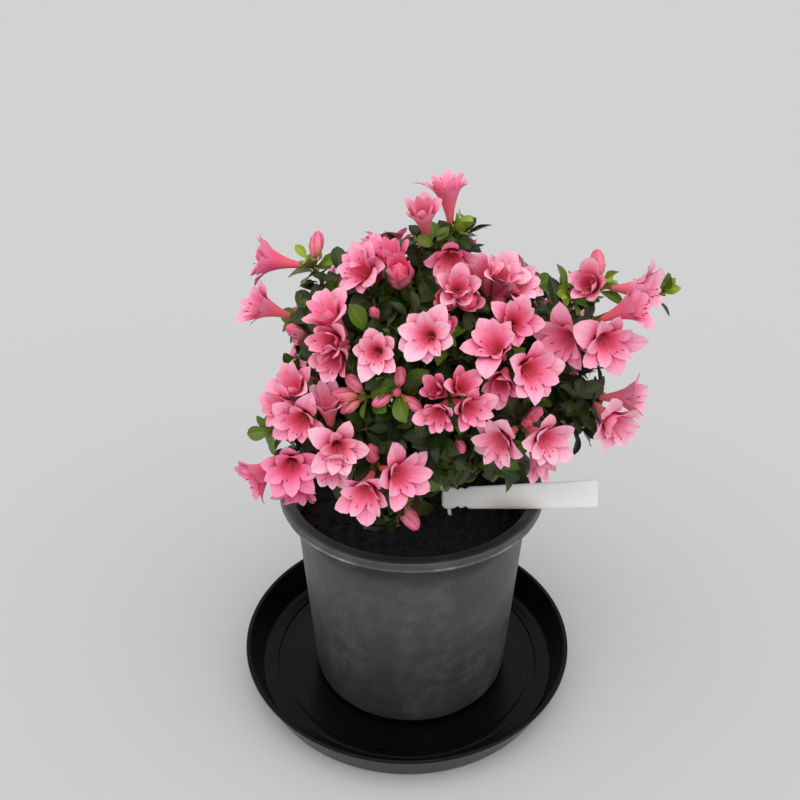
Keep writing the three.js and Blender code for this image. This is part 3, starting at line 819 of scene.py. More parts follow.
PETALS = {
    tone: BladeFinish(
        f"petal_{tone.value}",
        0.55,
        stops=((0.0, tube), (0.26, tube), (0.5, throat), (0.74, blade), (1.0, tip)),
        vein=line, veins=0.26, count=8.0, rib=line, ribs=0.14, rim=tip, rims=0.7, glow=0.22, gloss=0.3,
    )
    for tone, tube, throat, blade, tip, line in (
        (PetalTone.PALE, (247, 126, 136), (250, 126, 156), (255, 162, 192), (255, 196, 214), (228, 76, 116)),
        (PetalTone.ROSE, (245, 116, 128), (248, 112, 148), (255, 144, 181), (255, 180, 204), (220, 62, 104)),
        (PetalTone.DEEP, (242, 102, 120), (244, 92, 134), (253, 124, 168), (255, 160, 194), (208, 50, 96)),
    )
}
# Leaf greens; the dark and olive ones are partly older leaves' colour and partly painted shade of the crown's
# inside.
LEAVES = {
    tone: BladeFinish(
        f"leaf_{tone.value}",
        0.32,
        stops=((0.0, stalk), (0.16, blade), (0.75, blade), (1.0, tip)),
        vein=line, veins=0.35, count=9.0, lean=1.0, rib=line, ribs=0.8, rim=tip, rims=0.5, relief=0.3,
        glow=0.05, gloss=0.38,
    )
    for tone, stalk, blade, tip, line in (
        (LeafTone.DARK, (94, 94, 34), (36, 53, 13), (30, 46, 11), (76, 95, 34)),
        (LeafTone.OLIVE, (98, 94, 34), (43, 56, 13), (37, 49, 11), (84, 98, 35)),
        (LeafTone.MID, (126, 128, 44), (86, 118, 26), (76, 106, 22), (134, 154, 60)),
        (LeafTone.YOUNG, (158, 166, 56), (146, 174, 48), (138, 166, 44), (184, 204, 96)),
    )
}
# The bud's dark lines wind with its furled petals and lie on their folds: painted shade in the creases.
BUD_SKIN = BladeFinish(
    "bud_skin",
    0.5,
    stops=((0.0, (158, 142, 76)), (0.16, (238, 140, 130)), (0.6, (248, 140, 164)), (1.0, (236, 104, 138))),
    vein=(196, 52, 88), veins=0.7, count=5.0, wind=0.175, glow=0.15,
)
SCALE_SKIN = BladeFinish(
    "scale_skin",
    0.6,
    stops=((0.0, (140, 130, 62)), (0.5, (164, 160, 74)), (1.0, (134, 96, 56))),
    vein=(110, 96, 50), veins=0.4, count=6.0,
)
STALK_SKIN = BladeFinish(
    "stalk_skin",
    0.6,
    stops=((0.0, (124, 122, 58)), (0.5, (150, 116, 70)), (1.0, (196, 112, 92))),
    vein=(110, 90, 54), veins=0.3, count=5.0,
)
THREAD_SKIN = BladeFinish(
    "thread_skin",
    0.5,
    stops=((0.0, (252, 168, 188)), (0.5, (246, 128, 158)), (1.0, (234, 92, 128))),
    vein=(190, 40, 80), veins=0.2, count=2.0,
)
POLLEN_SKIN = BladeFinish(
    "pollen_skin",
    0.7,
    stops=((0.0, (162, 40, 66)), (0.5, (134, 28, 50)), (1.0, (160, 66, 74))),
    vein=(60, 16, 26), veins=0.4, count=2.0,
)
STUDIO_FLOOR = FloorFinish("studio_floor", 0.9)


# Saucer, pot, compost and label


@dataclass(frozen=True)
class Saucer:
    """A shallow dish with a flared wall and a low ring on its floor."""

    centre: Pair = (-2.4, -1.9)
    rim_radius: float = 107.4
    base_radius: float = 99.0
    height: float = 23.0
    wall: float = 1.8
    floor: float = 2.2
    lip: float = 2.6
    ring_radius: float = 87.0
    ring_width: float = 3.0
    ring_height: float = 0.4
    slope: float = 1.0
    chamfer: float = 0.4
    segments: int = 160

    def build(self) -> None:
        """Turns the dish and dresses it."""
        inner_base = self.base_radius - self.wall
        inner_rim = self.rim_radius - self.lip
        ring_inner = self.ring_radius - self.ring_width
        ring_top = self.floor + self.ring_height
        profile = rounded(
            [
                (0, 0, 0),
                (self.base_radius - self.slope, 0, 2.0),
                (inner_rim + self.wall, self.height - self.lip, 0.6),
                (self.rim_radius, self.height - self.lip + self.chamfer, 0.5),
                (self.rim_radius, self.height, 1.0),
                (inner_rim, self.height, 0.7),
                (inner_base, self.floor, 3.0),
                (self.ring_radius + self.slope, self.floor, 0.5),
                (self.ring_radius, ring_top, 0.4),
                (ring_inner, ring_top, 0.4),
                (ring_inner - self.slope, self.floor, 0.5),
                (0, self.floor, 0),
            ]
        )
        dish = Joined()
        dish.lathe(profile, self.segments)
        dish.points[0] = dish.points[0] + np.array((*self.centre, 0.0))
        dish.piece("saucer_dish", "saucer", SAUCER_PLASTIC, ["saucer"])


@dataclass(frozen=True)
class Pot:
    """A tapering wall that flares out under a flat rim."""

    foot: float = 2.5
    foot_radius: float = 63.2
    neck_radius: float = 70.4
    neck_height: float = 115.0
    flare_top: float = 137.5
    rim_radius: float = 80.0
    rim_top: float = 143.2
    rim_width: float = 7.0
    lip_overhang: float = 1.4
    wall: float = 1.8
    floor: float = 2.4
    flare_power: float = 2.2
    bead: float = 1.0
    bead_sides: int = 8
    foot_inset: float = 0.6
    chamfer: float = 0.4
    rim_slope: Pair = (0.8, 2.2)
    wall_rows: int = 14
    flare_rows: int = 17
    segments: int = 160

    def flare(self, inset: float, shares: Array) -> list[Triple]:
        """Corners up the flare.

        Args:
            inset: how far inside the outer face they lie.
            shares: how far up the flare each is.

        Returns:
            The corners, with no rounding.
        """
        rise = self.flare_top - self.neck_height
        taper = rise * (self.neck_radius - self.foot_radius) / (self.neck_height - self.foot)
        reach = self.rim_radius - self.lip_overhang - self.neck_radius - taper
        return [
            (
                self.neck_radius + taper * share + reach * share**self.flare_power - inset,
                self.neck_height + rise * share,
                0.0,
            )
            for share in shares
        ]

    def inner_radius(self, height: float) -> float:
        """The radius of the inside at a height below the flare."""
        share = np.clip((height - self.foot) / (self.neck_height - self.foot), 0, 1)
        return float(mix(self.foot_radius, self.neck_radius, share)) - self.wall

    def build(self) -> None:
        """Turns the pot and dresses it."""
        rim_inner = self.rim_radius - self.rim_width
        floor_top = self.foot + self.floor
        up = np.linspace(0, 1, self.flare_rows)[1:-1]
        climb = np.linspace(0, 1, self.wall_rows)[1:]
        wall = [
            (mix(self.foot_radius, self.neck_radius, share), mix(self.foot, self.neck_height, share), 0.0)
            for share in climb
        ]
        profile = rounded(
            [
                (0, self.foot, 0),
                (self.foot_radius - self.foot_inset, self.foot, 3.0),
                *wall,
                *self.flare(0, up),
                (self.rim_radius - self.lip_overhang, self.flare_top, 0.3),
                (self.rim_radius, self.flare_top + self.chamfer, 0.5),
                (self.rim_radius, self.rim_top, 1.0),
                (rim_inner, self.rim_top, 0.7),
                (rim_inner - self.rim_slope[0], self.rim_top - self.rim_slope[1], 0.6),
                *self.flare(self.wall, up[::-1]),
                (self.inner_radius(self.neck_height), self.neck_height, 1.0),
                (self.inner_radius(floor_top), floor_top, 0.6),
                (0, floor_top, 0),
            ]
        )
        shell = Joined()
        shell.lathe(profile, self.segments)
        shell.piece("pot_shell", "pot", POT_PLASTIC, ["pot"])
        # A bead along the lip's lower edge, dressed paler: partly wear, partly painted highlight.
        turns = np.linspace(0, math.tau, self.segments + 1)
        radius = self.rim_radius - self.bead / 2
        ring = round_axis(radius, turns, self.flare_top + self.bead)
        bead = Joined()
        bead.tube(ring, np.full(len(turns), self.bead), self.bead_sides)
        bead.piece("pot_lip", "pot", LIP_WEAR_AND_HIGHLIGHT, ["pot"])


@dataclass(frozen=True)
class Compost:
    """A low mound of dark compost, with loose crumbs on it."""

    pot: Pot
    edge: float = 117.0
    top: float = 121.0
    crown_radius: float = 17.0
    gap: float = 0.3
    depth: float = 18.0
    rings: int = 56
    spokes: int = 150
    slope: float = 0.7
    relief: Pair = (1.1, 0.55)
    lumps: Pair = (9.0, 3.2)
    calm: float = 6.0
    crumbs: int = 900
    crumb_radius: float = 1.3
    crumb_sizes: Pair = (0.4, 1.0)
    crumb_lengths: Pair = (0.8, 1.8)
    crumb_shape: Floats = (0.35, 0.9, 0.85, 0.3)
    crumb_lumps: Pair = (0.7, 1.2)
    crumb_sides: int = 5
    crumb_seat: float = 0.4
    bare_share: float = 0.02

    def height(self, radius: Array) -> Array:
        """The mound's height at several distances from the axis."""
        rim = self.pot.inner_radius(self.edge) - self.gap
        share = np.clip((rim - radius) / (rim - self.crown_radius), 0, 1)
        return mix(self.edge, self.top, share**self.slope)

    def build(self) -> None:
        """Makes the mound and its crumbs and dresses them."""
        rim = self.pot.inner_radius(self.edge) - self.gap
        rough = [Ripples(SEED + 1 + k, length) for k, length in enumerate(self.lumps)]
        radius = np.linspace(rim, rim / self.rings, self.rings)[:, None]
        flat = round_axis(radius, side_turns(self.spokes), 0.0)
        lift = sum(depth * waves.at(flat) for depth, waves in zip(self.relief, rough))
        flat[..., 2] = self.height(radius) + lift * ease(0, self.calm, rim - radius)
        skirt = flat[:1].copy()
        skirt[..., 2] = self.edge - self.depth
        ends = np.array([[0, 0, self.edge - self.depth], [0, 0, self.top]])
        mound = Joined()
        mound.skin(np.concatenate([skirt, flat]), ends)
        self.scatter(mound, rim)
        mound.piece("compost_mound", "soil", COMPOST, ["soil"])

    def scatter(self, mound: Joined, rim: float) -> None:
        """Adds loose crumbs, each a lumpy ball half sunk in.

        Args:
            mound: the mesh to add them to.
            rim: the mound's outer radius.
        """
        draw = np.random.default_rng(SEED + 3)
        for _ in range(self.crumbs):
            size = self.crumb_radius * draw.uniform(*self.crumb_sizes)
            away = math.sqrt(draw.uniform(self.bare_share, 1)) * (rim - 2 * size)
            turn = draw.uniform(0, math.tau)
            centre = np.array((away * math.cos(turn), away * math.sin(turn), 0.0))
            centre[2] = float(self.height(np.array(away))) + self.crumb_seat * size
            lean = unit(draw.normal(size=3))
            long = size * draw.uniform(*self.crumb_lengths)
            shape = np.array(self.crumb_shape)[:, None]
            path = centre + np.outer(np.linspace(-1, 1, len(shape)), lean) * long
            radii = size * shape * draw.uniform(*self.crumb_lumps, (len(shape), self.crumb_sides))
            mound.tube(path, radii, self.crumb_sides)


# Shrub


@dataclass(frozen=True)
class Truss:
    """A cluster: where its base lies in the crown, and what it bears.

    The base has a bearing, a rise and a depth, which is 1 on the crown's surface. Each bloom and bud looks
    along a bearing and a rise of its own. A bloom's third number is how far it is open, and a bud's is its
    size. With neither blooms nor buds the truss is a leafy tip. A heart is a bearing and a rise that a tuft
    of young leaves looks along.
    """

    bearing: float
    rise: float
    depth: float
    blooms: tuple[Triple, ...] = ()
    buds: tuple[Triple, ...] = ()
    size: float = 1.0
    hearts: tuple[Pair, ...] = ()


@dataclass(frozen=True)
class SprayPlan:
    """A mass of twigs that leaves one limb's tip."""

    name: str
    trusses: tuple[Truss, ...]


@dataclass(frozen=True)
class BoughPlan:
    """A bough, how far up the trunk it leaves, and its sprays, the first of them at its tip."""

    name: str
    leaves: float
    sprays: tuple[SprayPlan, ...]


def plan_bough(name: str, leaves: float, **sprays: tuple[Truss, ...]) -> BoughPlan:
    """A bough whose sprays are named by their keywords."""
    return BoughPlan(name, leaves, tuple(SprayPlan(key, trusses) for key, trusses in sprays.items()))


def back_sprays(name: str, middles: tuple[Triple, ...]) -> tuple[SprayPlan, ...]:
    """The sprays of one side of the back.

    Args:
        name: the bough's name.
        middles: the bearing, rise and depth of each spray's middle.

    Returns:
        The sprays, each with trusses spread round its middle.
    """
    count = 3
    spread = 16.0
    fan = 24.0
    tilt = 12.0
    sprays = []
    for index, (middle, height, depth) in enumerate(middles):
        trusses = []
        for k in range(count):
            turn = math.radians(360 * (k + index / 2) / count)
            bearing = middle + spread * math.cos(turn) / math.cos(math.radians(height))
            rise = height + spread * math.sin(turn)
            lone = (bearing - fan, rise + tilt, 1.0)
            other = (bearing + fan, rise - tilt, 1.0)
            blooms, buds = ((lone,), (other,)) if k == 0 else ((lone, other), ())
            trusses.append(Truss(bearing, rise, depth, blooms, buds))
        sprays.append(SprayPlan(f"{name}_{index + 1}", tuple(trusses)))
    return tuple(sprays)


BOUGHS = (
    plan_bough(
        "crest",
        0.98,
        top=(
            Truss(-54, 85, 0.8, ((180, 84, 0.85), (-93, -12, 0.8)), hearts=((-10, 48),)),
            Truss(-128, 82, 0.77, ((-103, 60, 0.5),)),
            Truss(150, 56, 0.46, ((200, 50, 1), (110, 30, 1))),
            Truss(35, 54, 0.44, ((20, 55, 1), (80, 30, 1))),
        ),
        crest_front=(Truss(-78, 64, 0.63, ((-90, 36, 0.6), (-105, 22, 0.28), (-75, 22, 0.28))),),
        crest_right=(
            Truss(-34, 63, 0.57, ((-65, 58, 0.8), (-115, 60, 0.8), (-46, 42, 0.8)), ((-64, 27, 0.8),)),
        ),
    ),
    plan_bough(
        "left",
        0.86,
        crest_left=(
            Truss(-151, 63, 0.65, ((-125, 40, 0.85), (-125, 62, 0.8))),
            Truss(-129, 63, 0.66, ((-91, 48, 0.3), (-125, 72, 0.6)), ((-43, 64, 1), (-60, 82, 1))),
        ),
        far_left=(
            Truss(-175, 48, 0.87, ((-176, 12, 0.82),), ((60, 70, 1),), hearts=((165, 58), (-20, 25))),
            Truss(-162, 34, 0.81, ((-158, 28, 0.82),)),
        ),
        mid_left=(
            Truss(-132, 36, 0.72, ((-119, 24, 0.7), (-112, 4, 0.7), (-143, 53, 0.8))),
            Truss(-155, 30, 0.74, buds=((-150, 40, 0.9),)),
            Truss(-123, 45, 0.73, buds=((-110, 56, 0.7),)),
        ),
    ),
    plan_bough(
        "low_left",
        0.5,
        left=(
            Truss(-143, 9, 0.72, ((-132, 20, 0.75), (-104, 10, 0.9), (-131, 50, 0.75)), ((-112, 43, 0.8),)),
        ),
        low_left=(
            Truss(-144, -6, 0.84, ((-87, 12, 1), (-140, -15, 0.85), (-82, -40, 0.8))),
            Truss(-129, 2, 0.77, ((-79, 18, 1), (-87, -10, 0.8), (-108, 77, 0.65))),
            Truss(-145, 2, 0.93),
        ),
        foot=(
            Truss(-88, -10, 0.68),
            Truss(-111, -29, 0.66, buds=((-55, -24, 1.15),), hearts=((-105, -58), (5, -48))),
        ),
    ),
    plan_bough(
        "front",
        0.68,
        front_left=(
            Truss(-115, 35, 0.76, ((-98, 24, 0.85),), size=0.88),
            Truss(-117, 19, 0.77, buds=((-160, 55, 0.8), (-170, 12, 0.85), (-165, -28, 0.85))),
        ),
        front=(
            Truss(-93, 42, 0.73, ((-106, 26, 1), (-79, 41, 0.3)), size=0.9),
            Truss(
                -106, 22, 0.76, buds=((-69, 78, 0.8), (-95, 28, 0.6), (-150, -12, 0.75), (-42, -18, 0.75))
            ),
        ),
        low_front=(Truss(-114, -6, 0.74, ((-100, -2, 1), (-55, 16, 1)), ((-101, 60, 1),)),),
    ),
    plan_bough(
        "middle",
        0.8,
        centre=(
            Truss(
                -88, 21, 0.74, ((-119, 38, 0.45), (-68, 43, 0.75), (-109, 3, 0.8), (-65, 11, 0.85)), size=0.85
            ),
            Truss(-85, 6, 0.68, buds=((-80, -3, 0.7),)),
        ),
        heart=(
            Truss(-63, 31, 0.71, ((-122, 46, 1), (-68, 17, 0.9), (-103, 0, 0.6))),
            Truss(-50, 45, 0.65, ((-92, 32, 0.85),)),
        ),
    ),
    plan_bough(
        "low_right",
        0.45,
        low_middle=(
            Truss(
                -61, 9, 0.73, ((-126, 2, 1), (-66, 8, 0.9), (-62, -36, 0.65)), ((-81, 33, 0.7), (-51, 49, 1))
            ),
            Truss(-72, -2, 0.7),
        ),
        low_right=(Truss(-27, 9, 0.77, ((-28, 14, 0.8), (-68, -6, 0.8))),),
    ),
    plan_bough(
        "right",
        0.76,
        right=(
            Truss(-28, 33, 0.88, ((-130, 0, 1), (-82, 3, 1), (-30, 34, 0.8))),
            Truss(-24, 44, 0.84, hearts=((-105, 20),)),
        ),
        far_right=(
            Truss(
                -7,
                38,
                0.92,
                ((-118, 24, 0.5), (-35, 10, 0.8)),
                ((120, 75, 1), (-120, 30, 0.9)),
                hearts=((-10, 62),),
            ),
            Truss(-4, 28, 1.14, hearts=((-75, 42),)),
        ),
    ),
    BoughPlan(
        "back_right",
        0.58,
        back_sprays("back_right", ((20, 3, 0.6), (58, 3, 0.66), (32, 17, 0.54), (75, 30, 0.6))),
    ),
    BoughPlan(
        "back_left",
        0.63,
        back_sprays(
            "back_left", ((98, 3, 0.66), (138, 3, 0.62), (172, 2, 0.5), (112, 31, 0.6), (155, 28, 0.52))
        ),
    ),
)


@dataclass(frozen=True)
class Crown:
    """The ellipsoid that the tips of the longest sprays lie on."""

    centre: Triple = (15.0, 0.0, 205.0)
    half: Triple = (118.0, 92.0, 122.0)

    def point(self, truss: Truss) -> Array:
        """Where a truss's base lies."""
        return np.array(self.centre) + heading(truss.bearing, truss.rise) * np.array(self.half) * truss.depth

    def outward(self, point: Array) -> Array:
        """The direction straight out of the crown at a point."""
        return unit((point - np.array(self.centre)) / np.array(self.half) ** 2)

    def depth(self, point: Array) -> float:
        """How far out a point lies: 1 on the crown, and less inside it."""
        return float(np.linalg.norm((point - np.array(self.centre)) / np.array(self.half)))

    def middle(self, plan: SprayPlan) -> Array:
        """The middle of a spray's bases."""
        return np.mean([self.point(truss) for truss in plan.trusses], axis=0)


@dataclass
class Limb:
    """A tapering woody limb."""

    name: str
    bend: Bend
    root_radius: float
    tip_radius: float
    sides: int


@dataclass
class Bloom:
    """An open flower."""

    MOUTH = 9.0
    CONE_TIP = 10.0
    CONE_SLOPE = 0.85
    LEAST_RADIUS = 1.6
    MOST_RADIUS = 14.5
    SHUT_SPREAD = 0.45
    LOBES = 10

    base: Array
    way: Array
    turn: float
    size: float
    opened: float
    tone: PetalTone
    lobes: Array = field(default_factory=lambda: np.ones(Bloom.LOBES))

    def reach(self, point: Array) -> Pair:
        """Where a point lies from the bloom's base.

        Args:
            point: the point.

        Returns:
            Its distance along the bloom and its distance from the bloom's axis, at a full size.
        """
        away = (point - self.base) / self.size
        along = float(away @ self.way)
        return along, float(np.linalg.norm(away - along * self.way))

    def holds(self, point: Array, margin: float = 0.0, front: float = 31.0) -> bool:
        """Whether a point lies in the bloom's funnel or before its face.

        Args:
            point: the point.
            margin: how far outside the funnel still counts.
            front: how far from the bloom's base the space before its face ends.

        Returns:
            True if it does.
        """
        along, aside = self.reach(point)
        if not self.MOUTH < along < front:
            return False
        spread = mix(self.SHUT_SPREAD, 1.0, self.opened)
        cone = max((along - self.CONE_TIP) * self.CONE_SLOPE, self.LEAST_RADIUS)
        return aside < min(cone, self.MOST_RADIUS) * spread + margin


@dataclass(frozen=True)
class Tuft:
    """The leaves at a shoot's tip: how many, how large, and how far past their truss they may reach."""

    leaves: int
    size: float = 1.0
    reach: float = 0.0


@dataclass
class Shoot:
    """The leafy tip of a twig."""

    bend: Bend
    tuft: Tuft
    tone: LeafTone
    limit: float


@dataclass
class Leaf:
    """One leaf, its upper face towards the tip of its shoot."""

    root: Array
    way: Array
    over: Array
    length: float
    tone: LeafTone


@dataclass
class Shrub:
    """The plant: limbs, twigs, blooms, buds and leaves, grown by a seeded rule.

    A form is a limb's radius at its root and at its tip, and its sides. An uneven value is the share by
    which what is drawn may differ from its usual size.
    """

    crown: Crown = field(default_factory=Crown)
    trunk_foot: float = 121.3
    trunk_top: float = 160.0
    trunk_lean: float = 5.0
    trunk_form: Form = (10.5, 4.6, 24)
    bough_form: Form = (3.1, 1.6, 14)
    bough_end: float = 0.72
    branch_form: Form = (2.1, 1.5, 12)
    branch_end: float = 0.64
    branch_roots: Floats = (0.64, 0.46, 0.8, 0.54)
    limb_lift: float = 0.1
    stem_tip_radius: float = 1.1
    stem_sides: int = 8
    stem_end: float = 0.35
    twig_form: Form = (1.15, 0.85, 7)
    twig_roots: Floats = (0.8, 0.66, 0.9, 0.54)
    tip_tuft: Tuft = Tuft(11, 1.2, 0.14)
    truss_tuft: Tuft = Tuft(9, 1.0, 0.09)
    bright_share: float = 0.55
    paler_run: float = 300.0
    pale_above: float = 0.62
    rose_above: float = 0.2
    slow_opening: float = 0.5
    uneven_bloom: float = 0.05
    uneven_opening: float = 0.08
    uneven_bud: float = 0.1
    heart_form: Form = (0.6, 0.5, 5)
    heart_tuft: Tuft = Tuft(8, 0.65, 0.2)
    heart_length: float = 5.0
    side_form: Form = (0.75, 0.5, 5)
    side_tuft: Tuft = Tuft(8)
    side_roots: Floats = (0.24, 0.42, 0.58, 0.74, 0.88)
    side_spread: float = 52.0
    uneven_side_spread: float = 0.25
    side_length: float = 17.0
    uneven_side_length: float = 0.35
    side_rise: float = 0.2
    side_bend: float = 0.6
    side_limit: float = 0.81
    lowest_side: float = 148.0
    mid_above: float = 0.86
    olive_above: float = 0.46
    lobe_steps: Floats = (1.0, 0.86, 0.72, 0.58, 0.44)
    bloom_reach: float = 70.0
    bloom_margin: float = 0.8
    bloom_front: float = 44.0
    leaf_limit: float = 0.9
    leaf_length: Pair = (10.5, 18.0)
    leaf_down: Pair = (9.0, 0.4)
    leaf_spread: Pair = (78.0, 52.0)
    young_spread: Pair = (40.0, 18.0)
    uneven_leaf_spread: float = 0.22
    leaf_lift: float = 0.12
    least_along: float = 0.1
    lowest_leaf: float = 138.0
    rightmost: float = 142.0
    label_start: float = 12.0
    label_face: float = -42.0
    label_slope: float = 0.77
    label_top: float = 163.0
    pot_rim: float = 138.0
    bud_root: float = 4.0
    bud_front: float = 32.0
    bud_middle: float = 12.0
    bud_light: float = 24.0
    bud_room: float = 5.5
    limbs: list[Limb] = field(default_factory=list)
    twigs: list[Limb] = field(default_factory=list)
    shoots: list[Shoot] = field(default_factory=list)
    blooms: list[Bloom] = field(default_factory=list)
    buds: list[tuple[Array, Array, float]] = field(default_factory=list)
    tips: list[tuple[Array, Array]] = field(default_factory=list)
    leaves: list[Leaf] = field(default_factory=list)
    sprays: list[tuple[SprayPlan, Limb]] = field(default_factory=list)

    def grow(self) -> None:
        """Grows the limbs, then the sprays, then the leaves that there is room for."""
        self.draw = np.random.default_rng(SEED)
        self.grow_limbs()
        for plan, limb in self.sprays:
            self.grow_spray(plan, limb)
        self.settle_lobes()
        for shoot in self.shoots:
            self.grow_leaves(shoot)
        LOG.info("grown: %d blooms, %d buds, %d leaves", len(self.blooms), len(self.buds), len(self.leaves))

    def uneven(self, share: float) -> float:
        """A factor that differs from 1 by up to a share."""
        return 1 + share * self.draw.uniform(-1, 1)

    def limb_to(self, root: Array, goal: Array, end: float) -> Bend:
        """A limb from its root part of the way to a goal.

        Args:
            root: where it starts.
            goal: what it grows towards.
            end: the share of the way at which it ends.

        Returns:
            Its curve, which rises a little above the straight line.
        """
        tip = mix(root, goal, end)
        middle = mix(root, tip, 0.5) + UP * np.linalg.norm(tip - root) * self.limb_lift
        return Bend(root, middle, tip)

    def grow_limbs(self) -> None:
        """Grows the trunk, the boughs and the branches."""
        foot = np.array((0.0, 0.0, self.trunk_foot))
        waist = np.array((0.0, 0.0, (self.trunk_foot * 2 + self.trunk_top) / 3))
        top = np.array((self.trunk_lean, 0.0, self.trunk_top))
        trunk = Limb("trunk", Bend(foot, waist, top), *self.trunk_form)
        self.limbs.append(trunk)
        for bough in BOUGHS:
            lead, *rest = bough.sprays
            bend = self.limb_to(trunk.bend.at(bough.leaves), self.crown.middle(lead), self.bough_end)
            limb = Limb(f"bough_{bough.name}", bend, *self.bough_form)
            self.limbs.append(limb)
            self.sprays.append((lead, limb))
            for spray, share in zip(rest, self.branch_roots):
                fork = limb.bend.at(share)
                bend = self.limb_to(fork, self.crown.middle(spray), self.branch_end)
                branch = Limb(f"branch_{spray.name}", bend, *self.branch_form)
                self.limbs.append(branch)
                self.sprays.append((spray, branch))

    def grow_spray(self, plan: SprayPlan, limb: Limb) -> None:
        """Grows a stem from a limb's tip, a twig to each truss, and what the truss bears.

        Args:
            plan: the spray.
            limb: the limb that it leaves.
        """
        tip, onward = limb.bend.at(1), limb.bend.way(1)
        hub = mix(tip, self.crown.middle(plan), self.stem_end)
        stem = Bend(tip - onward, tip + onward * np.linalg.norm(hub - tip) / 2, hub)
        self.twigs.append(Limb("stem", stem, limb.tip_radius, self.stem_tip_radius, self.stem_sides))
        self.grow_side_shoots(stem)
        for index, truss in enumerate(plan.trusses):
            base = self.crown.point(truss)
            looks = [heading(*look[:2]) for look in (*truss.blooms, *truss.buds)]
            way = unit(np.sum([self.crown.outward(base), *looks], axis=0))
            root = stem.at(self.twig_roots[index % len(self.twig_roots)])
            twig = Bend(root, base - way * np.linalg.norm(base - root) / 3, base)
            self.twigs.append(Limb("twig", twig, *self.twig_form))
            leafy = not looks
            # Truss tufts on the crown's surface take the mid green more often than inner shoots; the dark
            # green is partly painted shade.
            tone = LeafTone.MID if leafy or self.draw.random() < self.bright_share else LeafTone.DARK
            tuft = self.tip_tuft if leafy else self.truss_tuft
            limit = max(self.leaf_limit, truss.depth + tuft.reach)
            self.shoots.append(Shoot(twig, tuft, tone, limit))
            self.grow_side_shoots(twig)
            self.grow_truss(truss, base, way)

    def grow_truss(self, truss: Truss, base: Array, way: Array) -> None:
        """Sets out the blooms, the buds and the tufts of young leaves of a truss.

        Args:
            truss: the truss.
            base: where they leave.
            way: the direction that the truss looks.
        """
        self.tips.append((base, way))
        paler = self.draw.random() + base[0] / self.paler_run
        tone = PetalTone.ROSE if paler > self.rose_above else PetalTone.DEEP
        tone = PetalTone.PALE if paler > self.pale_above else tone
        for bearing, rise, opened in truss.blooms:
            spin = self.draw.uniform(0, math.tau)
            size = truss.size * self.uneven(self.uneven_bloom)
            opened = opened * ease(0, self.slow_opening, opened) * self.uneven(self.uneven_opening)
            self.blooms.append(Bloom(base, heading(bearing, rise), spin, size, opened, tone))
        for bearing, rise, size in truss.buds:
            self.buds.append((base, heading(bearing, rise), size * self.uneven(self.uneven_bud)))
        for bearing, rise in truss.hearts:
            tip = base + heading(bearing, rise) * self.heart_length
            bend = Bend(base, mix(base, tip, 0.5), tip)
            self.twigs.append(Limb("heart", bend, *self.heart_form))
            limit = truss.depth + self.heart_tuft.reach
            self.shoots.append(Shoot(bend, self.heart_tuft, LeafTone.YOUNG, limit))

    def grow_side_shoots(self, twig: Bend) -> None:
        """Grows short leafy shoots from the sides of a twig.

        Args:
            twig: the twig that they leave.
        """
        first = self.draw.uniform(0, math.tau)
        for k, share in enumerate(self.side_roots):
            root, onward = twig.at(share), twig.way(share)
            spread = math.radians(self.side_spread) * self.uneven(self.uneven_side_spread)
            way = tipped(onward, spread, first + k * GOLDEN_TURN)
            length = self.side_length * self.uneven(self.uneven_side_length)
            tip = root + way * length
            if self.crown.depth(tip) > self.side_limit or tip[2] < self.lowest_side or self.hides_label(tip):
                continue
            tip = tip + onward * length * self.side_rise
            bend = Bend(root, root + way * length * self.side_bend, tip)
            self.twigs.append(Limb("side", bend, *self.side_form))
            # Inner side shoots take mostly the dark and olive greens: partly older leaves, partly painted
            # shade of the crown's inside.
            dealt = self.draw.random()
            tone = LeafTone.OLIVE if dealt > self.olive_above else LeafTone.DARK
            tone = LeafTone.MID if dealt > self.mid_above else tone
            self.shoots.append(Shoot(bend, self.side_tuft, tone, self.leaf_limit))

    def settle_lobes(self) -> None:
        """Closes up each lobe that would reach into another bloom."""
        for bloom in self.blooms:
            near = [
                other
                for other in self.blooms
                if other is not bloom and np.linalg.norm(other.base - bloom.base) < self.bloom_reach
            ]
            for index in range(len(bloom.lobes)):
                for opened in self.lobe_steps:
                    bloom.lobes[index] = opened
                    tip = FLOWER.lobe_tip(bloom, index)
                    if not any(other.holds(tip) for other in near):
                        break

    def grow_leaves(self, shoot: Shoot) -> None:
        """Grows a whorl of leaves at a shoot's tip, and some below it.

        Args:
            shoot: the shoot.
        """
        first = self.draw.uniform(0, math.tau)
        count = shoot.tuft.leaves
        spreads = self.young_spread if shoot.tone is LeafTone.YOUNG else self.leaf_spread
        for k in range(count):
            share = k / (count - 1)
            down = mix(*self.leaf_down, math.sqrt(share))
            along = max(self.least_along, 1 - down / shoot.bend.length)
            onward = shoot.bend.way(along)
            spread = math.radians(mix(*spreads, share)) * self.uneven(self.uneven_leaf_spread)
            way = tipped(onward, spread, first + k * GOLDEN_TURN)
            way = unit(way + self.leaf_lift * UP)
            over = unit(onward - way * (onward @ way))
            length = self.draw.uniform(*self.leaf_length) * shoot.tuft.size
            root = shoot.bend.at(along)
            if self.has_room(root, way, length, shoot.limit):
                self.leaves.append(Leaf(root, way, over, length, shoot.tone))

    def has_room(self, root: Array, way: Array, length: float, limit: float) -> bool:
        """Whether a leaf stays in the crown, above the soil, beside the label and clear of the blooms.

        Args:
            root: the leaf's root.
            way: its direction.
            length: its length.
            limit: how far out of the crown it may reach.

        Returns:
            True if there is room.
        """
        for share in (0.5, 1.0):
            point = root + way * length * share
            if self.crown.depth(point) > limit or point[2] < self.lowest_leaf or point[0] > self.rightmost:
                return False
            if self.hides_label(point):
                return False
            if any(bloom.holds(point, self.bloom_margin, self.bloom_front) for bloom in self.blooms):
                return False
            if any(self.near_bud(point, *bud) for bud in self.buds):
                return False
        return True

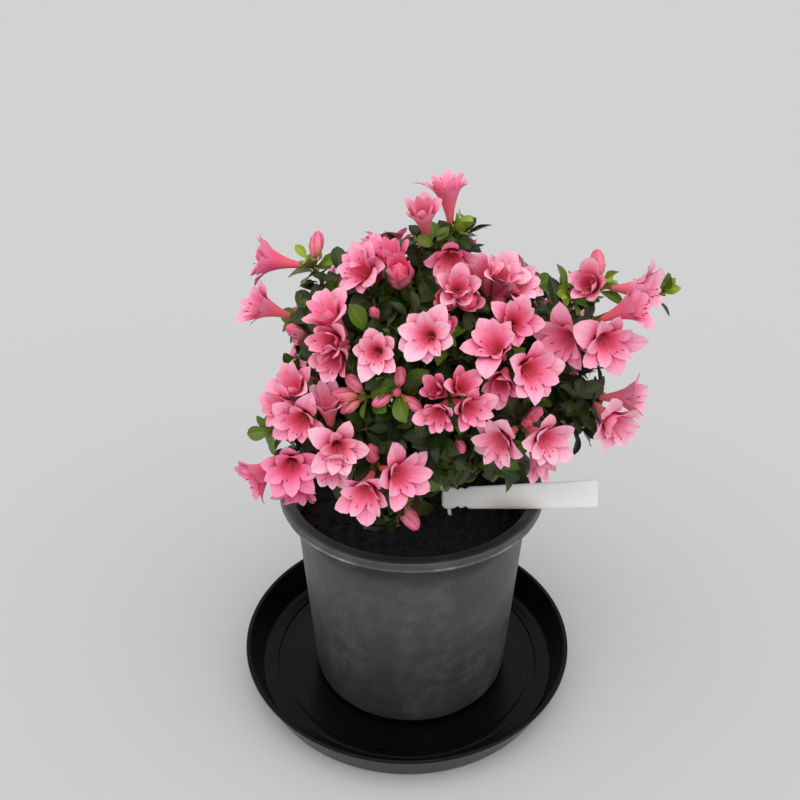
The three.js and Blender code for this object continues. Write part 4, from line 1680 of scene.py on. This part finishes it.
    def near_bud(self, point: Array, base: Array, way: Array, size: float) -> bool:
        """Whether a point lies in a bud, just before it or between it and the light.

        Args:
            point: the point.
            base: the bud's base.
            way: its direction.
            size: its size beside a usual one.

        Returns:
            True if a leaf there would touch or shade the bud.
        """
        for start, course, near, far in (
            (base, way, self.bud_root, self.bud_front),
            (base + way * self.bud_middle * size, LIGHT_WAY, 0.0, self.bud_light),
        ):
            away = point - start
            along = float(away @ course)
            aside = float(np.linalg.norm(away - along * course))
            if near < along / size < far and aside < self.bud_room * size:
                return True
        return False

    def hides_label(self, point: Array) -> bool:
        """Whether a point lies in the clear space before the label, which widens up and forward."""
        before = self.label_face - point[1]
        level = point[2] - before * self.label_slope
        return point[0] > self.label_start and before > 0 and self.pot_rim < level < self.label_top


@dataclass(frozen=True)
class Wood:
    """The limbs with their bark's relief, and the twigs."""

    shrub: Shrub
    trunk_waist: float = 6.4
    root_flare: float = 6.4
    root_lobes: int = 5
    root_turn: float = 0.8
    root_depth: float = 0.16
    root_fade: int = 4
    collar_swell: float = 0.45
    collar_length: float = 0.1
    limb_step: float = 1.4
    least_limb_rows: int = 10
    bark_round: float = 4.0
    bark_stretch: Triple = (1.0, 1.0, 0.4)
    bark_waves: Pair = (7.0, 2.4)
    bark_depths: Pair = (0.07, 0.05)
    twig_step: float = 3.0
    least_twig_rows: int = 4
    knob_wave: float = 3.0
    knob_depth: float = 0.1

    def build(self) -> None:
        """Makes the limbs and the twigs and dresses them."""
        self.build_limbs()
        self.build_twigs()

    def limb_radii(self, limb: Limb, share: Array, turns: Array) -> Array:
        """A limb's radii before its bark.

        Args:
            limb: the limb.
            share: shares of its length.
            turns: the turn of each side.

        Returns:
            The radius at each share and side: lobed at the trunk's foot, and swollen at a limb's root.
        """
        if limb.name == "trunk":
            straight = mix(self.trunk_waist, limb.tip_radius, share)
            flared = straight + (limb.root_radius - self.trunk_waist) * (1 - share) ** self.root_flare
            lobes = np.cos(self.root_lobes * turns + self.root_turn)[None, :]
            lobes = lobes * (1 - share[:, None]) ** self.root_fade
            return flared[:, None] * (1 + self.root_depth * lobes)
        collar = 1 + self.collar_swell * np.exp(-((share / self.collar_length) ** 2))
        return (mix(limb.root_radius, limb.tip_radius, share) * collar)[:, None]

    def build_limbs(self) -> None:
        """Makes the trunk, the boughs and the branches."""
        wood = Joined()
        relief = [Ripples(SEED + 5 + k, length) for k, length in enumerate(self.bark_waves)]
        for limb in self.shrub.limbs:
            share = np.linspace(0, 1, max(self.least_limb_rows, int(limb.bend.length / self.limb_step)))
            path = limb.bend.points(share)
            turns = side_turns(limb.sides)
            skin = path[:, None, :] + round_axis(self.bark_round, turns, 0.0)[None]
            skin = skin * np.array(self.bark_stretch)
            bark = sum(depth * waves.at(skin) for depth, waves in zip(self.bark_depths, relief))
            wood.tube(path, self.limb_radii(limb, share, turns) * (1 + bark), limb.sides)
        wood.piece("limbs", "bark", BARK, [limb.name for limb in self.shrub.limbs])

    def build_twigs(self) -> None:
        """Makes the stems, the twigs and the shoots."""
        twigs = Joined()
        knobs = Ripples(SEED + 7, self.knob_wave)
        for twig in self.shrub.twigs:
            share = np.linspace(0, 1, max(self.least_twig_rows, int(twig.bend.length / self.twig_step)))
            path = twig.bend.points(share)
            radii = mix(twig.root_radius, twig.tip_radius, share) * (1 + self.knob_depth * knobs.at(path))
            twigs.tube(path, radii, twig.sides)
        twigs.piece("twigs", "spray", TWIG_BARK, spray_nodes())


def spray_nodes() -> list[str]:
    """The CAD nodes of the foliage."""
    return sorted(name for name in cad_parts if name.startswith("spray_"))


# Flowers, buds and leaves


def blade_chart(across: Array, along: Array) -> Array:
    """A blade's chart, from each point's place across it, which is -1 to 1, and along it."""
    return np.stack(np.broadcast_arrays(0.5 + 0.5 * across, along), axis=-1)


@dataclass(frozen=True)
class Whorl:
    """Five lobes that are joined in a tube below, each along a line of radius and height."""

    opened: tuple[Pair, ...]
    closed: tuple[Pair, ...]
    phase: float
    widen: float

    def line(self, along: Array, opened: float) -> tuple[Array, Array]:
        """The line of a lobe's middle.

        Args:
            along: shares of its length.
            opened: how far it is open.

        Returns:
            The radius and height at each share.
        """
        corners = mix(np.array(self.closed), np.array(self.opened), opened)
        weights = [(1 - along) ** 3, 3 * along * (1 - along) ** 2, 3 * along**2 * (1 - along), along**3]
        return tuple(sum(w * corner[k] for w, corner in zip(weights, corners)) for k in (0, 1))


@dataclass(frozen=True)
class Flower:
    """A funnel of two whorls, one inside the other, with threads in its throat."""

    stalk: float = 7.0
    lobes: int = 5
    rows: int = 16
    columns: int = 11
    cut: float = 0.42
    fan: float = 2.6
    furled_below: float = 0.3
    heart: float = 1.4
    outer: Whorl = Whorl(
        opened=((1.6, 0), (3.0, 11), (6.6, 20.5), (15.4, 22.0)),
        closed=((1.6, 0), (3.1, 10), (6.6, 17), (3.6, 24)),
        phase=0.0,
        widen=0.5,
    )
    inner: Whorl = Whorl(
        opened=((1.3, 2), (2.5, 12), (5.4, 21.0), (13.8, 24.0)),
        closed=((1.3, 2), (2.6, 11), (5.4, 18), (1.0, 24.5)),
        phase=0.5,
        widen=0.46,
    )
    inner_opening: Pair = (0.74, 1.0)
    least_opening: float = 0.5
    point_length: float = 0.05
    point_width: float = 0.22
    point_power: int = 6
    bluntness: Pair = (1.15, 1.85)
    free_part: Pair = (0.5, 0.95)
    uneven_length: float = 0.05
    uneven_opening: float = 0.09
    uneven_width: float = 0.12
    sway: float = 0.03
    lap: float = 1.1
    ruffles: tuple[Pair, ...] = ((0.6, 4.2), (0.45, 8.5))
    groove_depth: float = 0.35
    groove_width: float = 0.16
    cup: Pair = (0.2, 0.6)
    curl: Pair = (-0.3, 1.1)
    lift_in: float = 0.35
    lift_up: float = 0.8
    thread_rows: int = 8
    thread_sides: int = 5
    thread_radii: Pair = (0.19, 0.13)
    thread_reach: Pair = (5.0, 9.0)
    thread_top: Pair = (19.5, 23.0)
    thread_foot: Pair = (0.5, 5.0)
    thread_curve: Pair = (1.8, 0.85)
    thread_sway: float = 0.15
    middle_sway: float = 0.3
    middle_reach: float = 3.0
    middle_top: float = 24.0
    shut_reach: float = 0.3
    shut_top: float = 0.85
    pollen_sizes: Pair = (0.24, 0.31)
    pollen_places: Floats = (-0.4, 0.2, 0.8, 1.1)
    pollen_shape: Floats = (0.4, 1.0, 0.85, 0.3)
    pollen_sides: int = 6
    stalk_places: Floats = (-0.15, 0.3, 0.7, 0.9, 1.05, 1.2)
    stalk_shape: Floats = (0.8, 0.75, 0.85, 1.5, 1.95, 1.7)
    stalk_sides: int = 7

    def whorl(self, index: int) -> tuple[Whorl, float]:
        """The whorl of a lobe, and the lobe's turn round the bloom.

        Args:
            index: the lobe's number, the outer whorl's first.

        Returns:
            The whorl and the turn.
        """
        whorl = self.outer if index < self.lobes else self.inner
        return whorl, math.tau * (index % self.lobes + whorl.phase) / self.lobes

    def place(self, bloom: Bloom, radius: Array, height: Array, turn: Array) -> Array:
        """Points of a bloom from their radius, height and turn.

        Args:
            bloom: the bloom.
            radius: each point's distance from the bloom's axis.
            height: each point's distance along it from the stalk's end.
            turn: each point's turn round it.

        Returns:
            The points.
        """
        aside, over = frame_round(bloom.way)
        turn = (np.asarray(turn) + bloom.turn)[..., None]
        out = np.cos(turn) * aside + np.sin(turn) * over
        along = (np.asarray(height) + self.stalk)[..., None]
        return bloom.base + bloom.size * (np.asarray(radius)[..., None] * out + along * bloom.way)

    def is_furled(self, bloom: Bloom) -> bool:
        """Whether a bloom has only begun to open, so that a furled heart stands in its outer whorl."""
        return bloom.opened < self.furled_below

    def lobe_tip(self, bloom: Bloom, index: int) -> Array:
        """Where a lobe's tip lies."""
        whorl, turn = self.whorl(index)
        radius, height = whorl.line(np.array(1.0), bloom.opened * bloom.lobes[index])
        return self.place(bloom, radius, height, np.array(turn))

    def add_petals(self, bloom: Bloom, petals: Joined, draw: Draws) -> None:
        """Adds a bloom's whorls of lobes, only the outer one while the bloom is furled.

        Args:
            bloom: the bloom.
            petals: the mesh to add them to.
            draw: the seeded draws.
        """
        across = np.linspace(-1, 1, self.columns)[None, :]
        rows = np.linspace(0, 1, self.rows)[:, None]
        furled = draw.uniform(*self.inner_opening) * mix(self.least_opening, 1.0, min(1.0, bloom.opened))
        point = self.point_length * np.exp(-((across / self.point_width) ** 2)) * rows**self.point_power
        groove = -self.groove_depth * np.exp(-((across / self.groove_width) ** 2))
        for index in range(self.lobes if self.is_furled(bloom) else 2 * self.lobes):
            whorl, turn = self.whorl(index)
            long = 1 + self.uneven_length * draw.normal()
            blunt = draw.uniform(*self.bluntness)
            along = rows * (1 - self.cut * np.abs(across) ** blunt) * long + point
            free = ease(*self.free_part, along)
            opened = bloom.opened * bloom.lobes[index] * (1 + self.uneven_opening * draw.normal())
            opened *= furled if index >= self.lobes else 1
            radius, height = whorl.line(along, opened)
            phases = draw.uniform(0, math.tau, len(self.ruffles))
            waves = zip(self.ruffles, phases)
            ruffle = sum(depth * np.sin(pitch * across + phase) for (depth, pitch), phase in waves)
            cup = draw.normal(*self.cup) * across**2
            lift = free * (self.lap * across + ruffle * rows + groove + cup)
            curl = draw.normal(*self.curl) * free**2
            sector = math.pi / self.lobes * (1 + whorl.widen * free * draw.normal(1, self.uneven_width))
            sway = self.sway * draw.normal() * free
            turned = turn + sway + across * sector
            radius = radius - self.lift_in * lift
            height = height + self.lift_up * lift + curl
            points = self.place(bloom, radius, height, turned)
            chart = blade_chart(across, np.clip(along, 0, 1))
            petals.add(points, grid_faces(self.rows, self.columns), chart=chart)

    def add_threads(self, bloom: Bloom, threads: Joined, pollen: Joined, draw: Draws) -> None:
        """Adds the threads in a bloom's throat, which lie along its lower side.

        Args:
            bloom: the bloom.
            threads: the mesh for the threads.
            pollen: the mesh for their tips.
            draw: the seeded draws.
        """
        share = np.linspace(0, 1, self.thread_rows)
        aside, over = frame_round(bloom.way)
        low = math.atan2(-over[2], -aside[2]) - bloom.turn
        for k in range(self.lobes + 1):
            middle = k == self.lobes
            spread = self.middle_sway * draw.normal() if middle else self.fan * (k / (self.lobes - 1) - 0.5)
            turn = low + spread + self.thread_sway * draw.normal()
            reach = self.middle_reach if middle else draw.uniform(*self.thread_reach)
            reach *= mix(self.shut_reach, 1.0, bloom.opened)
            top = self.middle_top if middle else draw.uniform(*self.thread_top)
            top *= mix(self.shut_top, 1.0, bloom.opened)
            start_radius, start_height = self.thread_foot
            radius = start_radius + reach * share ** self.thread_curve[0]
            height = start_height + (top - start_height) * share ** self.thread_curve[1]
            path = self.place(bloom, radius, height, np.full(len(share), turn))
            threads.tube(path, mix(*self.thread_radii, share) * bloom.size, self.thread_sides)
            end = path[-1] - path[-2]
            tip = path[-1] + np.outer(np.array(self.pollen_places), unit(end))
            size = self.pollen_sizes[0 if middle else 1]
            pollen.tube(tip, size * np.array(self.pollen_shape) * bloom.size, self.pollen_sides)

    def add_stalk(self, bloom: Bloom, stalks: Joined) -> None:
        """Adds a bloom's stalk and the small cup that holds its tube.

        Args:
            bloom: the bloom.
            stalks: the mesh to add them to.
        """
        path = bloom.base + np.outer(np.array(self.stalk_places) * self.stalk * bloom.size, bloom.way)
        stalks.tube(path, bloom.size * np.array(self.stalk_shape), self.stalk_sides)


FLOWER = Flower()


@dataclass(frozen=True)
class Bud:
    """A plump pointed bud, its petals furled in a spiral."""

    length: float = 20.0
    stalk: float = 4.5
    radius: float = 3.7
    rows: int = 16
    sides: int = 25
    petals: int = 5
    twist: float = 1.1
    furl: float = 0.34
    furl_start: float = 0.25
    furled_part: Pair = (0.1, 0.5)
    fullness: float = 2.22
    ends: Pair = (0.02, 0.998)
    taper: Pair = (0.6, 0.55)
    stalk_ends: Pair = (-0.1, 1.1)
    stalk_shape: Floats = (0.7, 0.75, 1.0, 1.5)
    stalk_sides: int = 6

    def add(self, base: Array, way: Array, size: float, skins: Joined, stalks: Joined) -> None:
        """Adds one bud and its stalk.

        Args:
            base: where the stalk leaves.
            way: the bud's direction.
            size: its size beside a usual one.
            skins: the mesh for the bud.
            stalks: the mesh for the stalk.
        """
        share = np.linspace(0, 1, self.rows)
        shape = self.fullness * np.clip(share, self.ends[0], 1) ** self.taper[0]
        shape = shape * (1 - np.clip(share, 0, self.ends[1])) ** self.taper[1]
        turns = side_turns(self.sides)
        wound = self.petals * (turns[None, :] + self.twist * share[:, None]) / (math.tau)
        furled = (wound - self.furl_start) % 1
        fold = 1 + self.furl * (furled - 0.5) * ease(*self.furled_part, share)[:, None]
        radii = self.radius * size * shape[:, None] * fold
        path = base + np.outer(size * (self.stalk + share * (self.length - self.stalk)), way)
        skins.tube(path, radii, self.sides)
        places = np.linspace(*self.stalk_ends, len(self.stalk_shape))
        stalk = base + np.outer(places * self.stalk * size, way)
        stalks.tube(stalk, np.array(self.stalk_shape) * size, self.stalk_sides)


@dataclass(frozen=True)
class Blade:
    """A leaf or scale: widest past its middle, folded along its midrib and arched."""

    width: float = 0.54
    rows: int = 10
    columns: int = 7
    stalk: float = 0.1
    skew: float = 1.25
    fold: float = 0.28
    arch: float = 0.2
    twist: float = 0.25
    fullness: float = 0.66
    least_half: Pair = (0.45, 0.12)
    wave: float = 0.25
    wave_pitch: Pair = (7.0, 3.0)
    uneven_width: float = 0.08
    uneven_arch: float = 0.5
    uneven_fold: float = 0.4

    def add(self, leaf: Leaf, blades: Joined, draw: Draws) -> None:
        """Adds one leaf.

        Args:
            leaf: its place, direction and length.
            blades: the mesh to add it to.
            draw: the seeded draws.
        """
        along = np.linspace(0, 1, self.rows)[:, None]
        across = np.linspace(-1, 1, self.columns)[None, :]
        grown = np.clip((along - self.stalk) / (1 - self.stalk), 0, 1)
        half = leaf.length * self.width / 2 * draw.normal(1, self.uneven_width)
        wide = half * np.sin(np.pi * grown**self.skew) ** self.fullness
        wide = np.maximum(wide, mix(*self.least_half, along))
        side = across * wide
        arch = leaf.length * self.arch * draw.normal(1, self.uneven_arch)
        fold = self.fold * draw.normal(1, self.uneven_fold)
        wave = self.wave * np.sin(self.wave_pitch[0] * along + self.wave_pitch[1] * across) * np.abs(across)
        rise = fold * np.abs(side) - arch * along**2 + wave
        twist = draw.normal(0, self.twist) * along
        aside = np.cross(leaf.way, leaf.over)
        points = leaf.root + leaf.length * along[..., None] * leaf.way
        points = points + (side * np.cos(twist) - rise * np.sin(twist))[..., None] * aside
        points = points + (rise * np.cos(twist) + side * np.sin(twist))[..., None] * leaf.over
        blades.add(points, grid_faces(self.rows, self.columns), chart=blade_chart(across, along))


LEAF_BLADE = Blade()
SCALE_BLADE = Blade(width=0.6, rows=5, columns=5, stalk=0.02, skew=1.0, fold=0.5, arch=-0.1)


@dataclass
class Bouquet:
    """What the shrub bears, each kind joined into its own pieces."""

    shrub: Shrub
    bud: Bud = field(default_factory=Bud)
    scales: int = 7
    scale_length: float = 5.5
    scale_sizes: Pair = (0.7, 1.2)
    scale_spread: Pair = (14.0, 46.0)
    scale_sink: Pair = (0.2, 2.0)

    def build(self) -> None:
        """Makes the blooms, buds, scales and leaves and dresses them."""
        nodes = spray_nodes()
        draw = np.random.default_rng(SEED + 11)
        petals = {tone: Joined(charted=True) for tone in PetalTone}
        threads, pollen, stalks, skins, scales = (Joined(charted=True) for _ in range(5))
        for bloom in self.shrub.blooms:
            FLOWER.add_petals(bloom, petals[bloom.tone], draw)
            FLOWER.add_stalk(bloom, stalks)
            if FLOWER.is_furled(bloom):
                self.bud.add(bloom.base, bloom.way, FLOWER.heart * bloom.size, skins, stalks)
            else:
                FLOWER.add_threads(bloom, threads, pollen, draw)
        for base, way, size in self.shrub.buds:
            self.bud.add(base, way, size, skins, stalks)
        for base, way in self.shrub.tips:
            self.add_scales(base, way, scales, draw)
        for tone, joined in petals.items():
            joined.piece(f"petals_{tone.value}", "spray", PETALS[tone], nodes)
        threads.piece("threads", "spray", THREAD_SKIN, nodes)
        pollen.piece("pollen_tips", "spray", POLLEN_SKIN, nodes)
        stalks.piece("flower_stalks", "spray", STALK_SKIN, nodes)
        skins.piece("buds", "spray", BUD_SKIN, nodes)
        scales.piece("bud_scales", "spray", SCALE_SKIN, nodes)
        blades = {tone: Joined(charted=True) for tone in LeafTone}
        for leaf in self.shrub.leaves:
            LEAF_BLADE.add(leaf, blades[leaf.tone], draw)
        for tone, joined in blades.items():
            joined.piece(f"leaves_{tone.value}", "spray", LEAVES[tone], nodes)

    def add_scales(self, base: Array, way: Array, scales: Joined, draw: Draws) -> None:
        """Adds the scales that hug a truss's base.

        Args:
            base: the truss's base.
            way: its direction.
            scales: the mesh to add them to.
            draw: the seeded draws.
        """
        for k in range(self.scales):
            out = tipped(way, math.radians(draw.uniform(*self.scale_spread)), k * GOLDEN_TURN)
            over = unit(way - out * (way @ out))
            root = base - way * draw.uniform(*self.scale_sink)
            length = self.scale_length * draw.uniform(*self.scale_sizes)
            leaf = Leaf(root, out, over, length, LeafTone.YOUNG)
            SCALE_BLADE.add(leaf, scales, draw)


@dataclass(frozen=True)
class Label:
    """A blank tie-on strip, its loop round the lowest bough and its lower edge on the pot's rim."""

    pot: Pot
    bough: str = "bough_low_right"
    end: float = 109.0
    width: float = 17.0
    neck_width: float = 12.0
    thick: float = 0.6
    tilt: float = 29.0
    corner: float = 2.0
    lap: float = 2.5
    loop_along: float = 0.42
    loop_radius: float = 8.0
    loop_width: float = 8.0
    loop_inset: float = 0.4
    loop_gap: float = 0.02
    loop_columns: int = 49
    loop_rows: int = 5
    gap: float = 0.3
    columns: int = 60
    rows: int = 9
    bow: float = 1.2
    notches: Pair = (9.0, 13.5)
    notch_depth: float = 1.6
    notch_width: float = 1.3
    tail_length: float = 15.0
    tail_fall: Triple = (0.15, -0.35, -1.0)
    tail_face: Triple = (0.0, -1.0, 0.35)
    tail_rows: int = 9
    tail_columns: int = 3

    def build(self, shrub: Shrub) -> None:
        """Makes the strip, the loop and the loop's tail, and dresses them.

        Args:
            shrub: the shrub whose lowest bough carries the loop.
        """
        bough = next(limb for limb in shrub.limbs if limb.name == self.bough)
        axis = bough.bend.way(self.loop_along)
        down = unit(-UP + axis * (axis @ UP))
        bough_radius = mix(bough.root_radius, bough.tip_radius, self.loop_along)
        hang = self.loop_radius - self.thick - bough_radius - self.gap
        centre = bough.bend.at(self.loop_along) + down * hang
        foot = centre + down * self.loop_radius
        sheet = Joined()
        for face, out in (self.loop(centre, axis, down), self.strip(foot), self.tail(foot)):
            self.add_sheet(sheet, face, out)
        sheet.piece("label_strip", "label", LABEL_PLASTIC, ["label"])

    def add_sheet(self, sheet: Joined, face: Array, out: Array) -> None:
        """Adds a thin closed sheet.

        Args:
            sheet: the mesh to add it to.
            face: rows of points on its front face.
            out: the way that the face looks, or that each of its points does.
        """
        rows, columns = face.shape[:2]
        back = face - out * self.thick
        front_faces = grid_faces(rows, columns)
        numbers = np.arange(rows * columns).reshape(rows, columns)
        rim = np.concatenate([numbers[0], numbers[1:, -1], numbers[-1, -2::-1], numbers[-2:0:-1, 0]])
        ahead = np.roll(rim, -1)
        count = rows * columns
        edge = np.stack([ahead, rim, rim + count, ahead + count], axis=-1)
        points = np.concatenate([face.reshape(-1, 3), back.reshape(-1, 3)])
        sheet.add(points, front_faces, front_faces[:, ::-1] + count, edge)

    def strip(self, foot: Array) -> tuple[Array, Array]:
        """The strip, which widens from its neck to its end.

        Args:
            foot: the loop's lowest point.

        Returns:
            Its front face and the way that it looks.
        """
        tilt = math.radians(self.tilt)
        drop = foot[2] - self.pot.rim_top - self.gap
        start = np.array((foot[0] - self.lap, foot[1] - drop * math.tan(tilt), self.pot.rim_top + self.gap))
        length = self.end - start[0]
        share = np.linspace(0, 1, self.columns)[None, :]
        level = np.linspace(0, 1, self.rows)[:, None]
        run = share * length
        top = mix(self.neck_width, self.width, np.clip(run / (length - self.corner), 0, 1))
        inset = np.maximum(0, self.corner - np.minimum(share, 1 - share) * length)
        round_off = self.corner - np.sqrt(np.maximum(0, self.corner**2 - inset**2))
        bites = [np.exp(-(((run - place) / self.notch_width) ** 2)) for place in self.notches]
        notch = sum(self.notch_depth * bite for bite in bites)
        low = round_off + notch
        high = top - round_off - notch
        up = mix(low, high, level)
        over = np.array((0.0, math.sin(tilt), math.cos(tilt)))
        out = np.array((0.0, -math.cos(tilt), math.sin(tilt)))
        bow = self.bow * np.sin(math.pi * share) * (1 + 0 * level)
        face = start + (run + 0 * level)[..., None] * EAST + up[..., None] * over
        return face + bow[..., None] * out, out

    def loop(self, centre: Array, axis: Array, down: Array) -> tuple[Array, Array]:
        """The loop round the bough.

        Args:
            centre: the loop's middle.
            axis: the bough's direction.
            down: the loop's direction down.

        Returns:
            Its outer face and the way that each point looks.
        """
        turns = np.linspace(self.loop_gap, math.tau - self.loop_gap, self.loop_columns)[None, :]
        level = np.linspace(-0.5, 0.5, self.loop_rows)[:, None]
        out = np.cos(turns)[..., None] * down + np.sin(turns)[..., None] * np.cross(axis, down)
        ring = centre + out * (self.loop_radius - self.loop_inset)
        return ring + (level * self.loop_width)[..., None] * axis, out

    def tail(self, foot: Array) -> tuple[Array, Array]:
        """The thin tail that hangs from the loop.

        Args:
            foot: the loop's lowest point.

        Returns:
            Its front face and the way that it looks.
        """
        share = np.linspace(0, 1, self.tail_rows)[:, None]
        side = np.linspace(-1, 1, self.tail_columns)[None, :]
        fall = (share * self.tail_length + 0 * side)[..., None] * np.array(self.tail_fall)
        face = foot + fall + (side * (1 + 0 * share))[..., None] * EAST
        return face, unit(np.array(self.tail_face))


# Studio


@dataclass(frozen=True)
class Studio:
    """A pale floor, soft light and the camera."""

    camera_place: Triple = (-7.01, -467.4, 464.2)
    camera_aim: Triple = (-7.01, 0.0, 200.03)
    focal_pixels: float = 920.79
    sensor: float = 36.0
    clip: Pair = (0.02, 50.0)
    floor_half: float = 6000.0
    floor_drop: float = 0.2
    air: float = 0.66
    softness: float = 70.0
    key_way: Triple = (-0.5, -0.55, 1.0)
    key_power: float = 0.97
    fill_way: Triple = (0.5, -0.5, 1.0)
    fill_power: float = 1.03

    def build(self) -> None:
        """Sets up the floor, the lights and the camera."""
        self.lay_floor()
        self.light("key", self.key_way, self.key_power)
        self.light("fill", self.fill_way, self.fill_power)
        world = bpy.data.worlds.new("soft_air")
        bpy.context.scene.world = world
        world.use_nodes = True
        air = world.node_tree.nodes["Background"]
        air.inputs["Color"].default_value = (1.0, 1.0, 1.0, 1.0)
        air.inputs["Strength"].default_value = self.air
        self.set_camera()
        bpy.context.scene.view_settings.view_transform = "Standard"

    def lay_floor(self) -> None:
        """Lays the floor just under the saucer."""
        reach = self.floor_half * MM
        mesh = bpy.data.meshes.new("floor")
        corners = [(-reach, -reach, 0), (reach, -reach, 0), (reach, reach, 0), (-reach, reach, 0)]
        mesh.from_pydata(corners, [], [(0, 1, 2, 3)])
        mesh.materials.append(STUDIO_FLOOR.material())
        floor = new_object("floor", mesh)
        floor.location.z = -self.floor_drop * MM

    def light(self, name: str, place: Triple, power: float) -> None:
        """Hangs a wide soft light, far off.

        Args:
            name: the light's name.
            place: the direction that it shines from.
            power: its strength.
        """
        lamp = bpy.data.lights.new(name, "SUN")
        lamp.angle = math.radians(self.softness)
        lamp.energy = power
        holder = new_object(name, lamp)
        holder.location = Vector(place)
        holder.rotation_euler = (-Vector(place)).to_track_quat("-Z", "Y").to_euler()

    def set_camera(self) -> None:
        """Sets the camera where the photograph was taken from."""
        lens = bpy.data.cameras.new("camera")
        lens.sensor_fit = "HORIZONTAL"
        lens.sensor_width = self.sensor
        lens.lens = self.focal_pixels / PHOTO_SIDE * self.sensor
        lens.clip_start, lens.clip_end = self.clip
        camera = new_object("camera", lens)
        camera.location = Vector(self.camera_place) * MM
        aim = Vector(self.camera_aim) - Vector(self.camera_place)
        camera.rotation_euler = aim.to_track_quat("-Z", "Y").to_euler()
        bpy.context.scene.camera = camera


def main() -> None:
    """Builds the sub-assemblies in order."""
    logging.basicConfig(level=logging.INFO, format="%(name)s: %(message)s")
    pot = Pot()
    Saucer().build()
    pot.build()
    Compost(pot).build()
    shrub = Shrub()
    shrub.grow()
    Wood(shrub).build()
    Bouquet(shrub).build()
    Label(pot).build(shrub)
    Studio().build()


if __name__ == "__main__":
    main()
